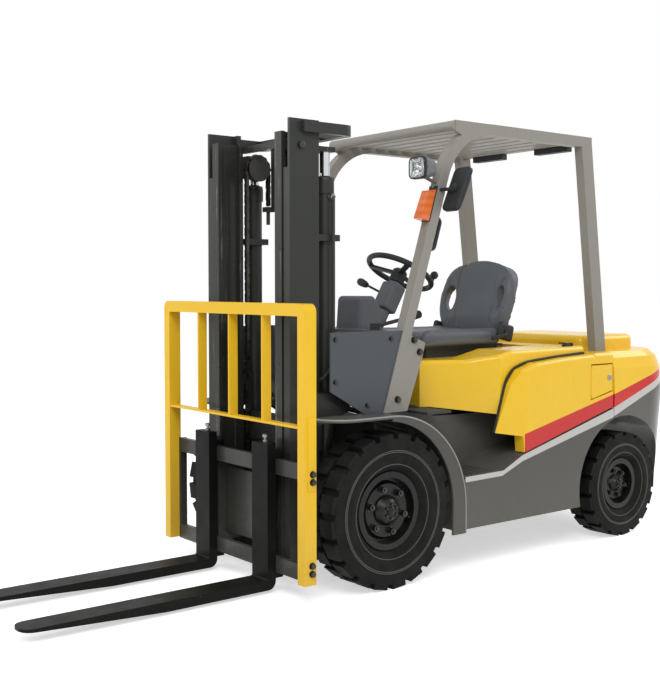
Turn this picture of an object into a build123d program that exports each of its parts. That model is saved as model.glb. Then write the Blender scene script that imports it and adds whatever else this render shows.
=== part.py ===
"""A 2.5 tonne counterbalance forklift with a two-stage mast, drawn in millimetres.

The drawing frame has the front axle's centre line at y = 0, the forks pointing to -Y, the truck's left side
at +X and the floor at z = 0. On export every piece moves by ORIGIN_SHIFT, so that the written origin lies on
the floor below the middle of the whole truck.
"""

from build123d import *
import math
import os

# Overall layout
WHEELBASE = 1600
REAR_OVERHANG = 490
FORK_FACE = 462          # front axle to the front face of the fork shanks
FORK_LENGTH = 1070
BODY_HALF = 570          # half width over the lower body sides
SILL_Z = 197             # underside of the body
RUN_GAP = 0.3            # clearance of pins and bearings
SEAM = 8                 # open seam between neighbouring body panels

# Wheels and tyres
FRONT_TYRE_R = 337
FRONT_TYRE_W = 190
FRONT_RIM_R = 152        # bead seat
FRONT_RIM_HALF = 64
FRONT_WHEEL_X = 485
REAR_TYRE_R = 272
REAR_TYRE_W = 160
REAR_RIM_R = 114
REAR_RIM_HALF = 56
REAR_WHEEL_X = 485
FRONT_LUGS = 20          # in each of the tread's two rows
REAR_LUGS = 18
LUG_DEPTH = 0.12         # of the tyre's wall
LUG_GAP = 0.30           # groove between lugs, of their pitch
LUG_INNER = 0.08         # inner ends from the tyre's middle, of the half width
RIM_WALL = 9
RIM_FLANGE = 18          # flange height over the bead seat
FRONT_SPINDLE_R = 45
REAR_SPINDLE_R = 24

# Steering axle
KINGPIN_X = 380
KINGPIN_R = 18
KNUCKLE_R = 36
KNUCKLE_HALF = 56        # half height of the knuckle boss
AXLE_PLATE = 18
TRUNNION_R = 30

# Mast
MAST_HALF = 330          # outer face of the outer channel
MAST_FRONT = 368         # front axle to the front of the outer channels
MAST_DEPTH = 155
MAST_BOTTOM = 115
MAST_TOP = 2017
OUTER_FLANGE_W = 46
OUTER_FLANGE_T = 22
OUTER_WEB_T = 14
FLANGE_NOTCH = 207       # top stretch of the front flange cut away for the roller
RAIL_GAP = 5             # between outer channel and inner rail
INNER_W = 51
INNER_DEPTH = 135
INNER_FLANGE_T = 20
INNER_WEB_T = 14
INNER_BOTTOM = 130
INNER_DROP = 51          # inner rails end below the outer channels
ROLLER_R = 45
ROLLER_W = 17
MAST_PIVOT_R = 75        # round part of the axle that carries the mast
MAST_RING_T = 24
MAST_FOOT_T = 27
LIFT_X = 278
LIFT_BEHIND = 70         # lift cylinder's centre behind the outer channel
LIFT_R = 36
LIFT_BORE_R = 28
LIFT_ROD_R = 22
LIFT_DROP = 247          # barrels' tops below the mast's top
CLAMP_DROP = 500         # clamp round the barrels below the mast's top
TIE_DROP = 56            # underside of the top tie bar below the mast's top
TIE_H = 47
TIE_T = 25
CROSS_TOP = 720          # top edge of the outer mast's middle cross plate
TIE_REACH = 179          # how far the tie bar loops out behind the channels
SHEAVE_X = 165
SHEAVE_R = 60
SHEAVE_W = 26
SHEAVE_DROP = 166        # sheave centres below the mast's top
CHAIN_T = 20
CHAIN_ANCHOR_Z = 300     # chain end on the carriage
CHAIN_FIXED_DROP = 327   # chain end on the outer mast below the mast's top
PIPE_R = 8
PIPE_BEND_R = 24
PIPE_LOW_Z = 960         # where the pipe turns inwards over the tilt lugs

# Fork carriage, backrest and forks
BAR_T = 22
BAR_H = 67
TOP_BAR_Z = 508
LOW_BAR_Z = 88
CARRIAGE_END_T = 16
CARRIAGE_PLATE_T = 15
CARRIAGE_CLEAR = 13      # carriage plate to inner rail
ROLLER_LOW_Z = 165
ROLLER_HIGH_Z = 430
REST_HALF = 573
REST_POST_W = 48
REST_POST_D = 60
REST_FRONT = 470
REST_BOTTOM = 92
REST_TOP = 1236
REST_RAIL_Z = 733
REST_BAR_T = 10
FORK_X = 237
FORK_W = 120
FORK_T = 42
FORK_CLEAR = 15          # blade underside above the floor
FORK_TOP = 640
FORK_TIP_T = 12
HOOK_T = 14
HOOK_GAP = 1.5

# Tilt cylinders
TILT_X = 362
TILT_EYE_Y = -121
TILT_EYE_Z = 783
TILT_BASE_Y = 372
TILT_BASE_Z = 640
TILT_R = 36
TILT_ROD_R = 18
TILT_EYE_R = 30
TILT_PIN_R = 14
TILT_EYE_BORE = 17       # roomy, because the eye drifts on its pin as the mast tilts
TILT_EYE_W = 30
TILT_LUG_T = 12
TILT_BARREL_BACK = 130   # barrel's end behind the eye, clear of the lugs with the mast tilted back

# Overhead guard
GUARD_HALF = 466
GUARD_TUBE_W = 50
GUARD_TUBE_D = 52
GUARD_TOP = 2071
GUARD_FOOT_Y = 67
GUARD_CORNER_Y = 475     # where leg and roof line would meet
GUARD_BEND_R = 330
GUARD_TOP_LEAD = 197     # rear legs' tops ahead of the rear axle
GUARD_FOOT_LEAD = 70     # rear legs' feet ahead of the rear axle
GUARD_REAR_D = 80
GUARD_HEADER_R = 25
HEADER_LOW = 5           # rear header's underside below the roof line
HEADLAMP_DROP = 207      # below the roof line
SIGNAL_DROP = 300
SIGNAL_H = 145
LAMP_W = 112
LAMP_H = 100
LAMP_D = 72
TAIL_X = 230             # middle of a tail lamp under the rear header
TAIL_HALF = 113
TAIL_H = 30
TAIL_D = 46
MIRROR_DROP = 300
MIRROR_X = 540
MIRROR_BACK = 28         # mirror's middle behind the leg's centre line
MIRROR_W = 120
MIRROR_H = 212
MIRROR_T = 22
MIRROR_NOD = 22          # leans back so that the glass looks down
MIRROR_TURN = 8          # turned outwards
ROOF_SLATS = 9
SLAT_SHARE = 0.663       # slat's width, of the slats' spacing
SLAT_T = 14

# Body panels
FENDER_Z = 750           # top face of the front fender
FENDER_T = 12
FENDER_W = 170
FENDER_LIP = 5           # fender's edge outside the body side
FENDER_NOSE_Y = -320
FENDER_NOSE_R = 130
FENDER_R = 440
SKIRT_T = 12             # fender's turned-down outer edge
SKIRT_R = 408
SKIRT_LEAD = 48          # centre of the skirt's inner curve ahead of the axle
SKIRT_RISE = 12          # and above the fender's own centre
PANEL_IN = 5             # upper panel inside the lower body side
PANEL_T = 62
PANEL_TOP = 967
PANEL_EDGE_R = 22
DOOR_GAP = 6.3           # round the fuel door
DOOR_T = 10
DOOR_RISE = 36           # of its lower edge, from front to rear
SHELF_LEAD = 234         # start of the shelf under the rear guard legs, ahead of the rear axle
DECK_Z = 1043            # raised deck on the counterweight
WEIGHT_LEAD = 83         # counterweight's front face ahead of the rear axle
BAY_LEAD = 420           # engine bay's rear wall ahead of the rear axle
ARCH_R = 360
HOOD_GAP = 11            # hood side to upper panel
HOOD_FRONT_Y = 415
HOOD_FRONT_HALF = 285
HOOD_WIDE_Y = 745      # where the hood reaches its full width
HOOD_WALL = 25
HOOD_EDGE_R = 22
HOOD_WELL_Z = 955        # top of the hood's front, and the seat's well behind it
HOOD_STEP_Y = 640        # where the sides start to rise beside the seat
HOOD_RISE_Y = 830
HOOD_RISE_Z = 996
HOOD_TOP = 1000
HOOD_SKIRT_Z = 692
ENGINE_HALF = 240
ENGINE_LOW = 380
ENGINE_TOP = 860
MOUNT_Y = 700            # engine mounts
MOUNT_Z = 420
RADIATOR_HALF = 290
RADIATOR_LOW = 600
RADIATOR_TOP = 930
GRILLE_HALF = 250
GRILLE_LOW = 620
GRILLE_TOP = 900
GRILLE_DEPTH = 110
GRILLE_SLATS = 6
TOW_DEPTH = 130          # tow pocket's back wall ahead of the truck's rear
TOW_REACH = 75           # lugs out from that wall
TOW_HALF = 79
TOW_PLATE = 12
TOW_LUG_T = 24
TOW_LOW_Z = 350
TOW_HIGH_Z = 426
TOW_PIN_R = 16
TOW_PIN_Y = 40           # pin's axis out from the pocket's wall
SEAT_HALF = 245
SEAT_FRONT_Y = 470
SEAT_REAR_Y = 1040
SEAT_LOW = 1012
SEAT_TOP = 1088
BACK_TOP = 1457
BACK_LEAN = 37.7         # front of the seat back leans rearwards by this
BACK_DEPTH = 155.7
STEP_Z = 437
STEP_IN = 300            # inner wall of the step and engine bay
FLOOR_Z = 735
FLOOR_T = 12
WING_X = 460             # outer face of the cowl's side wings
WING_T = 8
COWL_TOP = 1110
POD_HALF = 92            # instrument pod
POD_FRONT_Y = 200
POD_REAR_Y = 350
POD_H = 150
POD_R = 26
WHEEL_TILT = 30          # steering column from the upright
STEER_CENTRE = (0, 540, 1376)
STEER_R = 180
STEER_DROP = 60          # hub's underside below the rim's plane
KNOB_ANGLE = 40          # knob's place round the rim, from the truck's left
SHROUD_W = 100           # cover round the upper steering column
SHROUD_D = 86
SHROUD_L = 150
SHROUD_DROP = 145        # its middle below the steering wheel's centre
GRIP_LOW_Z = 1480        # grab handle on the left front leg
GRIP_HIGH_Z = 1612
GRIP_BACK = 62           # handle's centre line behind the leg's
GRIP_R = 9

# Derived places
FRONT_Z = FRONT_TYRE_R
REAR_Z = REAR_TYRE_R
MAST_REAR = MAST_FRONT - MAST_DEPTH
INNER_OUT = MAST_HALF - OUTER_FLANGE_W - RAIL_GAP
INNER_IN = INNER_OUT - INNER_W
INNER_MID_X = (INNER_OUT + INNER_IN) / 2
INNER_FRONT = MAST_FRONT + 6
INNER_REAR = INNER_FRONT - INNER_DEPTH
ROLLER_Y = -(INNER_FRONT + INNER_REAR) / 2
LIFT_Y = -MAST_REAR + LIFT_BEHIND
SHEAVE_Y = -MAST_REAR + 13
CARRIAGE_HALF = REST_HALF - REST_POST_W
INNER_TOP = MAST_TOP - INNER_DROP
LIFT_BARREL_TOP = MAST_TOP - LIFT_DROP
TIE_Z = MAST_TOP - TIE_DROP
SHEAVE_Z = MAST_TOP - SHEAVE_DROP
CHAIN_FIXED_Z = MAST_TOP - CHAIN_FIXED_DROP
CLAMP_Z = MAST_TOP - CLAMP_DROP
GUARD_REAR_TOP_Y = WHEELBASE - GUARD_TOP_LEAD
GUARD_REAR_FOOT_Y = WHEELBASE - GUARD_FOOT_LEAD
FENDER_OUT = BODY_HALF + FENDER_LIP
PANEL_HALF = BODY_HALF - PANEL_IN
HOOD_HALF = PANEL_HALF - PANEL_T - HOOD_GAP
REAR_SHELF_Y = WHEELBASE - SHELF_LEAD
COUNTERWEIGHT_Y = WHEELBASE - WEIGHT_LEAD
BAY_REAR_Y = WHEELBASE - BAY_LEAD
FENDER_IN = FENDER_OUT - FENDER_W
FUEL_DOOR = (REAR_SHELF_Y - 29, COUNTERWEIGHT_Y - 17, PANEL_TOP - 232, PANEL_TOP - 62)
PORT_X = LIFT_X + LIFT_R + 8
PORT_Z = LIFT_BARREL_TOP - 75
TILT_LENGTH = math.hypot(TILT_EYE_Y - TILT_BASE_Y, TILT_EYE_Z - TILT_BASE_Z)
TILT_BARREL_END = TILT_LENGTH - TILT_BARREL_BACK
BAR_FRONT = FORK_FACE - FORK_T
BAR_REAR = BAR_FRONT - BAR_T
GUARD_IN = GUARD_HALF - GUARD_TUBE_W
ROOF_Z = GUARD_TOP - GUARD_TUBE_D / 2
FRONT_REACH = FORK_FACE + FORK_LENGTH
REAR_REACH = WHEELBASE + REAR_OVERHANG
ORIGIN_SHIFT = (FRONT_REACH - REAR_REACH) / 2


def block(x0, x1, y0, y1, z0, z1):
    """A box between two corners."""
    return Pos((x0 + x1) / 2, (y0 + y1) / 2, (z0 + z1) / 2) * Box(x1 - x0, y1 - y0, z1 - z0)


def plate(outline, x0, x1, radius=0):
    """A flat outline of (y, z) points, extruded across the truck from x0 to x1."""
    face = make_face(Polyline(*outline, close=True))
    if radius:
        face = fillet(face.vertices(), radius)
    return extrude(Plane.YZ.offset(x0) * face, amount=x1 - x0)


def slab(outline, z0, z1, radius=0):
    """A flat outline of (x, y) points, extruded upwards from z0 to z1."""
    face = make_face(Polyline(*outline, close=True))
    if radius:
        face = fillet(face.vertices(), radius)
    return extrude(Plane.XY.offset(z0) * face, amount=z1 - z0)


def bar_x(radius, x0, x1, y, z):
    """A round bar across the truck."""
    return Pos((x0 + x1) / 2, y, z) * Rot(0, 90, 0) * Cylinder(radius, x1 - x0)


def bar_z(radius, x, y, z0, z1):
    """An upright round bar."""
    return Pos(x, y, (z0 + z1) / 2) * Cylinder(radius, z1 - z0)


def rod_between(radius, start, end):
    """A round bar between two points."""
    line = Line(start, end)
    return extrude(Plane(start, z_dir=line % 0) * Circle(radius), amount=line.length)


def turned(profile, x, z, y=0):
    """A (distance along the axle, radius) outline, turned about an axle through (x, y, z)."""
    face = make_face(Polyline(*profile, close=True))
    return Pos(x, y, z) * revolve(face, Axis.X)


def right_of(shape):
    """The same piece on the truck's right side."""
    return mirror(shape, Plane.YZ)


def pair(shape):
    """A left piece and its mirror image, as separate solids."""
    return Compound([*shape.solids(), *right_of(shape).solids()])


# Wheels


def tyre(radius, width, bead, seat, lugs, x, z, y):
    """A tyre whose beads sit between the rim flanges, with two staggered rows of flat-topped lugs."""
    half = width / 2
    wall = radius - bead
    lip = bead + RIM_FLANGE + 2
    base = radius - LUG_DEPTH * wall
    outer_side = [(seat, bead), (seat, lip), (0.90 * half, lip + 0.12 * wall), (half, bead + 0.42 * wall),
                  (half, bead + 0.62 * wall), (0.95 * half, base)]
    profile = outer_side + [(-along, r) for along, r in reversed(outer_side)]
    reach = (1 - LUG_GAP) * math.pi * radius / lugs
    top = math.sqrt(radius**2 - reach**2)
    lug = plate([(-reach, base - 5), (reach, base - 5), (reach, top), (-reach, top)], LUG_INNER * half,
                0.94 * half)
    start = math.degrees(math.asin(reach / radius))
    rows = []
    for i in range(lugs):
        rows.append(Rot(start + 360 * i / lugs, 0, 0) * lug)
        rows.append(Rot(start + 360 * (i + 0.5) / lugs, 0, 0) * right_of(lug))
    return Pos(x, y, z) * (turned(profile, 0, 0) + rows)


def rim(bead, half, disc_x, hub_r, bore_r, bore_end, x, z, y):
    """A disc wheel with a closed hub, its outer side towards +X. The hub's bore starts at the inner end."""
    inner = bead - RIM_WALL
    barrel = [
        (-half, bead), (-half, bead + RIM_FLANGE), (-half + RIM_WALL, bead + RIM_FLANGE),
        (-half + RIM_WALL, bead), (half - RIM_WALL, bead), (half - RIM_WALL, bead + RIM_FLANGE),
        (half, bead + RIM_FLANGE), (half, inner), (-half, inner),
    ]
    disc = [(disc_x, hub_r - 2), (disc_x, 0.80 * inner), (disc_x - 16, 0.90 * inner),
            (disc_x - 16, inner + 2), (disc_x - 28, inner + 2), (disc_x - 28, 0.88 * inner),
            (disc_x - 12, 0.78 * inner), (disc_x - 12, hub_r - 2)]
    cap = bore_end + 12
    hub = [
        (disc_x - 40, bore_r), (disc_x - 40, hub_r), (disc_x + 8, hub_r), (cap - 10, 0.8 * hub_r),
        (cap, 0.62 * hub_r), (cap, 0), (bore_end, 0), (bore_end, bore_r),
    ]
    return turned(barrel, x, z, y) + turned(disc, x, z, y) + turned(hub, x, z, y)


def front_rim():
    return rim(FRONT_RIM_R, FRONT_RIM_HALF, 42, 66, FRONT_SPINDLE_R + RUN_GAP, 66, FRONT_WHEEL_X, FRONT_Z,
               0)


def rear_rim():
    return rim(REAR_RIM_R, REAR_RIM_HALF, 24, 44, REAR_SPINDLE_R + RUN_GAP, 40, REAR_WHEEL_X, REAR_Z,
               WHEELBASE)


# Axles


def drive_axle():
    """The front axle housing with its gear case, brake drums and wheel spindles."""
    tube = bar_x(MAST_PIVOT_R, -KINGPIN_X + 20, KINGPIN_X - 20, 0, FRONT_Z)
    case = turned([(-150, 0), (-150, 80), (-90, 138), (60, 138), (150, 85), (150, 0)], 0, FRONT_Z)
    drive = block(-130, 130, 60, 330, FRONT_Z - 120, FRONT_Z + 150)
    drum_x = FRONT_WHEEL_X - 62
    axle = tube + case + drive
    for side in (1, -1):
        drum = turned([(0, 0), (0, 120), (drum_x - KINGPIN_X + 40, 128), (drum_x - KINGPIN_X + 40, 0)],
                      KINGPIN_X - 20, FRONT_Z)
        spindle = bar_x(FRONT_SPINDLE_R, KINGPIN_X - 20, FRONT_WHEEL_X + 60, 0, FRONT_Z)
        end = drum + spindle
        axle += end if side > 0 else right_of(end)
    return axle


def steer_axle():
    """The rear axle: two plates joined by webs, the steering cylinder and the trunnion pins."""
    mid = 74
    end = 44
    taper = [(KINGPIN_X - 170, mid), (KINGPIN_X - 90, end), (KINGPIN_X + 20, end), (KINGPIN_X + end, 30)]
    front = [(-x, WHEELBASE - depth) for x, depth in reversed(taper)]
    front += [(x, WHEELBASE - depth) for x, depth in taper]
    outline = front + [(x, 2 * WHEELBASE - y) for x, y in reversed(front)]
    gap = KNUCKLE_HALF + 1
    low = slab(outline, REAR_Z - gap - AXLE_PLATE, REAR_Z - gap)
    high = slab(outline, REAR_Z + gap, REAR_Z + gap + AXLE_PLATE)
    web_half = KINGPIN_X - 190
    web = 16
    front_web = block(-web_half, web_half, WHEELBASE - mid, WHEELBASE - mid + web, REAR_Z - gap,
                      REAR_Z + gap)
    rear_web = block(-web_half, web_half, WHEELBASE + mid - web, WHEELBASE + mid, REAR_Z - gap,
                     REAR_Z + gap)
    cylinder = bar_x(42, -web_half, web_half, WHEELBASE, REAR_Z)
    rod = bar_x(20, -web_half - 60, web_half + 60, WHEELBASE, REAR_Z)
    stays = block(-60, 60, WHEELBASE - mid, WHEELBASE + mid, REAR_Z - gap, REAR_Z + gap)
    pins = Pos(0, WHEELBASE, REAR_Z + 40) * Rot(90, 0, 0) * Cylinder(TRUNNION_R, 2 * mid + 90)
    axle = low + high + front_web + rear_web + cylinder + rod + stays + pins
    for side in (1, -1):
        axle -= bar_z(KINGPIN_R + RUN_GAP, side * KINGPIN_X, WHEELBASE, REAR_Z - 120, REAR_Z + 120)
    return axle


def knuckle():
    """Left steering knuckle: boss with its kingpin, wheel spindle and steering arm."""
    boss = bar_z(KNUCKLE_R, KINGPIN_X, WHEELBASE, REAR_Z - KNUCKLE_HALF, REAR_Z + KNUCKLE_HALF)
    pin = bar_z(KINGPIN_R, KINGPIN_X, WHEELBASE, REAR_Z - KNUCKLE_HALF - AXLE_PLATE,
                REAR_Z + KNUCKLE_HALF + AXLE_PLATE)
    spindle = bar_x(REAR_SPINDLE_R, KINGPIN_X, REAR_WHEEL_X + 36, WHEELBASE, REAR_Z)
    flange = bar_x(40, KINGPIN_X, REAR_WHEEL_X - 30, WHEELBASE, REAR_Z)
    arm = slab([(KINGPIN_X - 15, WHEELBASE), (KINGPIN_X + 15, WHEELBASE), (KINGPIN_X - 30, WHEELBASE + 95),
                (KINGPIN_X - 56, WHEELBASE + 95)], REAR_Z - 12, REAR_Z + 12)
    return boss + pin + spindle + flange + arm


# Mast


def channel_outline(outer, depth_front, depth_rear, width, flange, web):
    """Plan of a C channel whose web is on the outside."""
    inner = outer - width
    return [(outer, -depth_front), (outer, -depth_rear), (inner, -depth_rear),
            (inner, -depth_rear - flange), (outer - web, -depth_rear - flange),
            (outer - web, -depth_front + flange), (inner, -depth_front + flange), (inner, -depth_front)]


def outer_mast():
    """Two channels with their tie bar, cross plates, axle rings, tilt lugs and top rollers."""
    rail = slab(channel_outline(MAST_HALF, MAST_FRONT, MAST_REAR, OUTER_FLANGE_W, OUTER_FLANGE_T,
                                OUTER_WEB_T), MAST_BOTTOM, MAST_TOP)
    notch = block(MAST_HALF - OUTER_FLANGE_W - 1, MAST_HALF - OUTER_WEB_T, -MAST_FRONT - 1,
                  -MAST_FRONT + OUTER_FLANGE_T, MAST_TOP - FLANGE_NOTCH, MAST_TOP + 1)
    rail -= notch
    roller_z = INNER_TOP - 60
    roller = bar_x(ROLLER_R, INNER_MID_X + INNER_WEB_T / 2 + 1.5,
                   INNER_MID_X + INNER_WEB_T / 2 + 1.5 + ROLLER_W, ROLLER_Y, roller_z)
    shaft = bar_x(18, INNER_MID_X + INNER_WEB_T / 2 + 4, MAST_HALF - OUTER_WEB_T / 2, ROLLER_Y, roller_z)
    ring_reach = [
        (-MAST_REAR - 70, FRONT_Z - 130), (0, FRONT_Z - MAST_PIVOT_R - MAST_RING_T),
        (0, FRONT_Z + MAST_PIVOT_R + MAST_RING_T), (-MAST_REAR - 70, FRONT_Z + 160),
    ]
    foot_in = MAST_HALF - 7
    foot_out = foot_in + MAST_FOOT_T
    foot = plate(ring_reach, foot_in, foot_out)
    foot += bar_x(MAST_PIVOT_R + MAST_RING_T, foot_in, foot_out, 0, FRONT_Z)
    foot -= bar_x(MAST_PIVOT_R + RUN_GAP, foot_in - 1, foot_out + 1, 0, FRONT_Z)
    lugs = tilt_lugs()
    anchor = chain_bracket()
    side = rail + roller + shaft + foot + lugs
    mast = side + right_of(side)
    half = MAST_HALF - 2
    rear = -MAST_REAR
    mast += block(-half, half, rear - 2, rear + 16, CROSS_TOP - 130, CROSS_TOP)
    mast += block(-half, half, rear - 2, rear + 16, MAST_BOTTOM + 5, 260)
    mast += tie_bar() + anchor + right_of(anchor)
    for side_x in (LIFT_X, -LIFT_X):
        mast += block(side_x - 45, side_x + 45, rear - 2, LIFT_Y + 45, MAST_BOTTOM + 5, MAST_BOTTOM + 30)
        clamp = block(side_x - 48, side_x + 48, rear - 2, LIFT_Y + LIFT_R + 12, CLAMP_Z - 14, CLAMP_Z + 14)
        mast += clamp - bar_z(LIFT_R + RUN_GAP, side_x, LIFT_Y, CLAMP_Z - 20, CLAMP_Z + 20)
    return mast


def tie_bar():
    """The bar round the back of both channels at the top of the mast."""
    out = MAST_HALF + TIE_T
    far = -MAST_REAR + TIE_REACH
    front = -MAST_REAR - 95
    outer = slab([(-out, front), (out, front), (out, far), (-out, far)], TIE_Z, TIE_Z + TIE_H)
    outer = fillet(outer.edges().filter_by(Axis.Z).group_by(Axis.Y)[-1], 45)
    hollow = block(-MAST_HALF, MAST_HALF, front - 1, far - TIE_T - 16, TIE_Z - 1, TIE_Z + TIE_H + 1)
    return outer - hollow


def chain_bracket():
    """Plate under the tie bar that holds the fixed end of the left lift chain."""
    far = -MAST_REAR + TIE_REACH
    plate_y = SHEAVE_Y + SHEAVE_R + 16
    hanger = block(SHEAVE_X - 60, SHEAVE_X, plate_y, plate_y + 12, CHAIN_FIXED_Z - 35, TIE_Z + 12)
    top = block(SHEAVE_X - 60, SHEAVE_X, plate_y, far - TIE_T, TIE_Z, TIE_Z + 12)
    lug = block(SHEAVE_X - 22, SHEAVE_X + 22, SHEAVE_Y + SHEAVE_R - 18, plate_y + 12,
                CHAIN_FIXED_Z - 35, CHAIN_FIXED_Z - 12)
    bolt = bar_z(9, SHEAVE_X, SHEAVE_Y + SHEAVE_R, CHAIN_FIXED_Z - 95, CHAIN_FIXED_Z - 20)
    return hanger + top + lug + bolt


def tilt_lugs():
    """Clevis on the left channel for the tilt cylinder's eye, with its pin."""
    inside = TILT_X - TILT_EYE_W / 2 - 3
    outside = TILT_X + TILT_EYE_W / 2 + 3
    outline = [(-MAST_REAR - 60, TILT_EYE_Z - 70), (-MAST_REAR + 20, TILT_EYE_Z - 60),
               (TILT_EYE_Y + 22, TILT_EYE_Z - 22), (TILT_EYE_Y + 22, TILT_EYE_Z + 22),
               (-MAST_REAR + 20, TILT_EYE_Z + 60), (-MAST_REAR - 60, TILT_EYE_Z + 70)]
    lug_in = plate(outline, MAST_HALF - 2, inside)
    lug_out = plate(outline, outside, outside + TILT_LUG_T)
    back = block(MAST_HALF - 2, outside + TILT_LUG_T, -MAST_REAR - 60, -MAST_REAR + 12,
                 TILT_EYE_Z - 58, TILT_EYE_Z + 58)
    pin = bar_x(TILT_PIN_R, inside - 3, outside + TILT_LUG_T + 6, TILT_EYE_Y, TILT_EYE_Z)
    return lug_in + lug_out + back + pin


def lift_cylinders():
    """The two lift cylinder barrels, open at the top for their rods."""
    foot = MAST_BOTTOM + 30
    barrel = bar_z(LIFT_R, LIFT_X, LIFT_Y, foot, LIFT_BARREL_TOP)
    barrel += bar_z(LIFT_R + 6, LIFT_X, LIFT_Y, LIFT_BARREL_TOP - 60, LIFT_BARREL_TOP)
    barrel += bar_x(PIPE_R + 4, LIFT_X, PORT_X, LIFT_Y, PORT_Z)
    barrel -= bar_z(LIFT_BORE_R, LIFT_X, LIFT_Y, foot + 40, LIFT_BARREL_TOP - 20)
    barrel -= bar_z(LIFT_ROD_R + RUN_GAP, LIFT_X, LIFT_Y, LIFT_BARREL_TOP - 30, LIFT_BARREL_TOP + 1)
    return pair(barrel)


def mast_pipes():
    """Oil pipes from each lift cylinder's top port, down behind the channel to the lower cross plate."""
    out = PORT_X + 18
    low = INNER_IN + 2
    rear = -MAST_REAR + PIPE_R + 1
    bends = [PIPE_BEND_R * 0.6, PIPE_BEND_R, PIPE_BEND_R, PIPE_BEND_R]
    path = FilletPolyline((PORT_X, LIFT_Y, PORT_Z), (out, LIFT_Y, PORT_Z), (out, LIFT_Y, PIPE_LOW_Z),
                          (out, rear, PIPE_LOW_Z - 60), (low, rear, PIPE_LOW_Z - 60), (low, rear, CROSS_TOP),
                          radius=bends)
    return pair(sweep(Plane(path @ 0, z_dir=path % 0) * Circle(PIPE_R), path))


def rail_outline():
    """Plan of the left inner rail, an I section."""
    front, rear = -INNER_FRONT, -INNER_REAR
    web_in, web_out = INNER_MID_X - INNER_WEB_T / 2, INNER_MID_X + INNER_WEB_T / 2
    return [
        (INNER_OUT, front), (INNER_OUT, front + INNER_FLANGE_T), (web_out, front + INNER_FLANGE_T),
        (web_out, rear - INNER_FLANGE_T), (INNER_OUT, rear - INNER_FLANGE_T), (INNER_OUT, rear),
        (INNER_IN, rear), (INNER_IN, rear - INNER_FLANGE_T), (web_in, rear - INNER_FLANGE_T),
        (web_in, front + INNER_FLANGE_T), (INNER_IN, front + INNER_FLANGE_T), (INNER_IN, front),
    ]


def inner_mast():
    """Two I rails with cross plates, the crosshead over the lift rods and the lower rollers."""
    rail = slab(rail_outline(), INNER_BOTTOM, INNER_TOP)
    rear = -INNER_REAR
    head_z = SHEAVE_Z + 40
    arm = block(INNER_IN, INNER_OUT - 1, rear - 2, LIFT_Y + LIFT_R, head_z, head_z + 22)
    arm += block(INNER_IN, LIFT_X + LIFT_R - 6, -MAST_REAR + 13, LIFT_Y + LIFT_R, head_z, head_z + 22)
    hanger = block(SHEAVE_X + SHEAVE_W / 2 + 10, INNER_IN + 6, rear + 1, SHEAVE_Y + 45, SHEAVE_Z - 42,
                   head_z + 22)
    pin = bar_x(14, SHEAVE_X - SHEAVE_W / 2 - 8, INNER_IN - 2, SHEAVE_Y, SHEAVE_Z)
    roller_z = INNER_BOTTOM + 70
    roller_x = MAST_HALF - OUTER_WEB_T - 2
    roller = bar_x(ROLLER_R + 8, roller_x - ROLLER_W, roller_x, -(MAST_FRONT + MAST_REAR) / 2, roller_z)
    shaft = bar_x(18, INNER_MID_X, roller_x - 3, -(MAST_FRONT + MAST_REAR) / 2, roller_z)
    side = rail + arm + hanger + pin + roller + shaft
    mast = side + right_of(side)
    half = INNER_IN + 4
    mast += block(-half, half, rear - 1, rear + 16, INNER_TOP - 40, INNER_TOP - 8)
    mast += block(-half, half, rear - 1, rear + 16, INNER_BOTTOM + 20, INNER_BOTTOM + 140)
    return mast


def lift_rods():
    """The two lift rods, from inside their barrels up to the crosshead."""
    rod = bar_z(LIFT_ROD_R, LIFT_X, LIFT_Y, MAST_BOTTOM + 90, SHEAVE_Z + 40)
    rod += bar_z(LIFT_BORE_R - RUN_GAP, LIFT_X, LIFT_Y, MAST_BOTTOM + 80, MAST_BOTTOM + 120)
    return pair(rod)


def chain_sheaves():
    """The two grooved wheels that the lift chains run over."""
    half = SHEAVE_W / 2
    groove = SHEAVE_R - CHAIN_T / 2
    profile = [
        (-half - 6, 14 + RUN_GAP), (-half - 6, groove + 8), (-half, groove), (half, groove),
        (half + 6, groove + 8), (half + 6, 14 + RUN_GAP),
    ]
    return pair(turned(profile, SHEAVE_X, SHEAVE_Z, SHEAVE_Y))


def lift_chains():
    """Each lift chain as one leaf: up from the carriage, over its sheave and down to the outer mast."""
    half = SHEAVE_W / 2 - 1
    inside = SHEAVE_R - CHAIN_T / 2 + RUN_GAP
    outside = inside + CHAIN_T - 1
    front = block(-half, half, -outside, -inside, CHAIN_ANCHOR_Z - SHEAVE_Z, 0)
    rear = block(-half, half, inside, outside, CHAIN_FIXED_Z - 10 - SHEAVE_Z, 0)
    ring = Rot(0, 90, 0) * (Cylinder(outside, 2 * half) - Cylinder(inside, 2 * half))
    ring -= Pos(0, 0, -outside) * Box(2 * half + 2, 2 * outside + 2, 2 * outside)
    return pair(Pos(SHEAVE_X, SHEAVE_Y, SHEAVE_Z) * (front + rear + ring))


# Carriage, backrest and forks


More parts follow.
